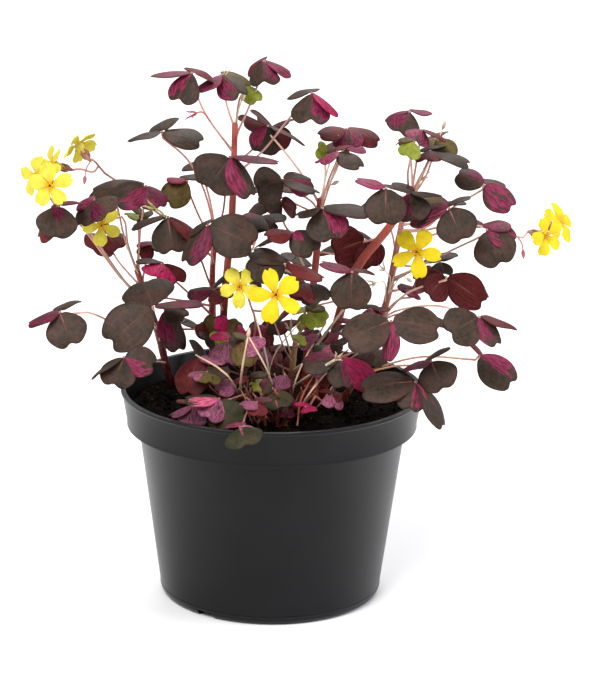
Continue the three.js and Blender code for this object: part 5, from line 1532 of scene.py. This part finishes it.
def petals_of(name):
    *_, length, opened, spin = BLOOMS[name]
    axis = bloom_axis(name)
    opened = math.radians(opened)
    for k in range(PETAL_COUNT):
        turn = Matrix.Rotation(math.radians(spin + 360 * k / PETAL_COUNT), 3, axis)
        out = turn @ axis.cross(UP).normalized()
        along = out * math.sin(opened) + axis * math.cos(opened)
        side = out.cross(axis)
        yield {
            "form": {**PETAL, "end_angle": chance.uniform(*PETAL_ENDS)},
            "hub": bloom_hub(name),
            "along": along,
            "normal": side.cross(along),
            "side": side,
            "length": length * chance.uniform(*PETAL_LENGTHS),
            "width": PETAL_WIDTH * length * chance.uniform(*PETAL_WIDTHS),
            "fold": math.radians(PETAL_FOLD),
            "wave": chance.uniform(*PETAL_WAVES),
            "phase": chance.uniform(*PHASES),
            "twist": chance.uniform(*PETAL_TWISTS),
            "droop": chance.uniform(*PETAL_DROOPS),
            "ragged": PETAL_RAGGED,
        }


def add_calyx(form, name, tone):
    """A bloom's stalk and its calyx: a cup with five pointed sepals."""
    axis = bloom_axis(name)
    top = calyx_top(name)
    stalk = spaced(pedicel_curve(name), STALK_STEPS)
    brown = mixed(tone, WINE, 0.6)
    add_tube(form, stalk, [PEDICEL_RADIUS] * len(stalk), STALK_SIDES, shaded(tone, 0.9), tone)
    cup = [stalk[-1], *(top - axis * below for below in CUP_DEPTHS)]
    radii = [PEDICEL_RADIUS, *(CALYX_RADIUS * share for share in CUP_SWELLS)]
    add_tube(form, cup, radii, STALK_SIDES, mixed(tone, brown, 0.6), mixed(brown, CALYX_GREEN, 0.3))
    for out in outward(axis, PETAL_COUNT, 0.5):
        sepal = bent(top, axis, out, SEPAL_BEND)
        add_tube(form, sepal, SEPAL_RADII, SMALL_SIDES, mixed(brown, CALYX_GREEN, 0.4), brown)


def make_bloom(name):
    hub = bloom_hub(name)
    axis = bloom_axis(name)
    form = new_mesh()
    for blade in petals_of(name):
        verts = add_blade(form, blade, PETAL_COLUMNS, PETAL_ROWS)
        paint(form, verts, PALE_YELLOW if "left" in name else YELLOW, seed=chance.uniform(*SEEDS))
    petals = finished(name + "_petals", form, [petal_skin, petal_skin], "petal", name)
    thicken(petals, PETAL_THICK)

    form = new_mesh()
    funnel = [hub + axis * ahead for ahead, _ in FUNNEL]
    add_tube(form, funnel, [radius for _, radius in FUNNEL], FUNNEL_SIDES, TUBE_PALE, TUBE_DEEP, axis)
    for k, out in enumerate(outward(axis, STAMEN_COUNT)):
        stamen = bent(hub, axis, out, [*STAMEN_BEND, STAMEN_TIPS[k % 2]])
        add_tube(form, stamen, STAMEN_RADII, THREAD_SIDES, TUBE_PALE, TUBE_PALE)
        add_bead(form, stamen[-1], ANTHER_RADIUS, ANTHER, 1.3, axis)
    finished(name + "_throat", form, [stalk_skin], "petal", name)


# Bare stalks, buds, bracts and the crown of old shoots


def on_soil(across, down):
    """Where the line of sight through a place in the picture meets the soil, a little sunk in."""
    sight = at((across, down, 0)) - EYE
    foot = EYE + sight * ((SOIL_TOP - EYE.z) / sight.z)
    foot.z = soil_height(foot.x, foot.y) - SPRIG_DEPTH
    return foot


def sprig_start(start):
    if not isinstance(start[0], str):
        return on_soil(*start)
    name, *place = start
    if name in BLOOMS:
        return share_of(pedicel_curve(name), place[0])
    if len(place) == 1:
        return share_of(stem_curve(name), place[0])
    leaf = LEAVES[name][place[0]]
    return share_of(leaf_curve(name, leaf, leaf_axis(leaf)), place[1])


def add_bracts(form, foot, axis, tone):
    for out in outward(axis, BRACT_COUNT):
        length = BRACT_LENGTH * chance.uniform(*BRACT_LENGTHS)
        bract = bent(foot, axis, out, BRACT_BEND, length)
        add_tube(form, bract, BRACT_RADII, SMALL_SIDES, tone, mixed(tone, WINE, 0.3))


def make_sprigs():
    form = new_mesh()
    for start, places, thickness, tone, ending in SPRIGS:
        line = spaced(curve_through([sprig_start(start), *map(at, places)]), STALK_STEPS)
        axis = (line[-1] - line[-2]).normalized()
        radii = stalk_radii(len(line), *(share * thickness for share in SPRIG_SWELLS))
        add_tube(form, line, radii, SMALL_SIDES, mixed(tone, RUST, 0.25), tone)
        foot = line[-1] - axis * 0.5
        if ending == "bud":
            bud = [foot + axis * (BUD_LENGTH * share) for share in BUD_SHARES]
            add_tube(form, bud, BUD_RADII, STALK_SIDES, mixed(tone, WINE, 0.3), tone)
        elif ending == "bracts":
            add_bracts(form, foot, axis, tone)
        else:
            add_bead(form, line[-1], radii[-1] * 1.3, tone)
    finished("bare_stalks", form, [stalk_skin], "leaf")


def make_crown():
    """Short old shoots that crowd at the soil in front, and lean outward."""
    form = new_mesh()
    spread_across, spread_deep = CROWN_SPREAD
    for k in range(CROWN_SHOOTS):
        middle = on_soil(*CROWN_PLACES[k % len(CROWN_PLACES)])
        across = chance.gauss(0, CROWN_GATHER)
        deep = chance.gauss(0, CROWN_GATHER)
        x = middle.x + across * spread_across
        y = middle.y + deep * spread_deep
        foot = Vector((x, y, soil_height(x, y) - SPRIG_DEPTH))
        height = chance.uniform(*CROWN_HEIGHTS)
        lean = Vector([CROWN_LEAN * way + chance.uniform(*CROWN_LEANS) for way in (across, deep)] + [1])
        bend = Vector((chance.uniform(*CROWN_BENDS), chance.uniform(*CROWN_BENDS), 0))
        thickness = chance.uniform(*CROWN_RADII)
        line = []
        radii = []
        for i in range(CROWN_STEPS + 1):
            share = i / CROWN_STEPS
            line.append(foot + (lean + bend * math.sin(4 * i)) * (height * share))
            radii.append(thickness * (1 - 0.5 * share))
        tone = chance.choice(CROWN_TONES)
        add_tube(form, line, radii, SMALL_SIDES, MAROON, tone)
        add_bead(form, line[-1], radii[-1] * chance.uniform(*CROWN_TIPS), tone, 1.4)
    finished("crown_shoots", form, [stalk_skin], "leaf")


make_pot()
make_soil_top()
make_soil_fibres()
for stem_name in STEMS:
    make_stem(stem_name)
    make_leaves(stem_name)
for bloom_name in BLOOMS:
    make_bloom(bloom_name)
make_sprigs()
make_crown()


# Floor, lights and camera


def make_floor():
    form = bmesh.new()
    bmesh.ops.create_grid(form, x_segments=1, y_segments=1, size=FLOOR_SIZE)
    finish = Finish("pale_floor", 0.9)
    finish.colour(finish.blend(finish.noise(3, 2), *FLOOR_WHITES))
    in_scene("floor", as_mesh("floor", form, [finish.material]))


def make_light(name, place, size, power, tint):
    light = bpy.data.lights.new(name, "AREA")
    light.color = tint
    light.size = size
    light.energy = power
    lamp = in_scene(name, light)
    lamp.location = place
    lamp.rotation_euler = (LIGHT_AIM - Vector(place)).to_track_quat("-Z", "Y").to_euler()


def make_camera():
    lens = bpy.data.cameras.new("camera")
    lens.sensor_width = SENSOR_WIDTH
    lens.lens = FOCAL_PIXELS / PICTURE_HEIGHT * SENSOR_WIDTH
    camera = in_scene("camera", lens)
    level_up = Vector((0, math.sin(PITCH), math.cos(PITCH)))
    right = Vector((math.cos(ROLL), 0, 0)) + level_up * math.sin(ROLL)
    up = level_up * math.cos(ROLL) - Vector((math.sin(ROLL), 0, 0))
    back = Vector((0, -math.cos(PITCH), math.sin(PITCH)))
    turn = Matrix((right, up, back)).transposed().to_4x4()
    camera.matrix_world = Matrix.Translation(EYE * MM) @ turn
    bpy.context.scene.camera = camera


def make_world():
    world = bpy.data.worlds.new("studio")
    bpy.context.scene.world = world
    world.use_nodes = True
    background = world.node_tree.nodes["Background"]
    background.inputs["Color"].default_value = (1, 1, 1, 1)
    background.inputs["Strength"].default_value = WORLD_STRENGTH
    bpy.context.scene.view_settings.view_transform = "Standard"


make_floor()
for light_name, settings in LIGHTS.items():
    make_light(light_name, *settings)
make_camera()
make_world()
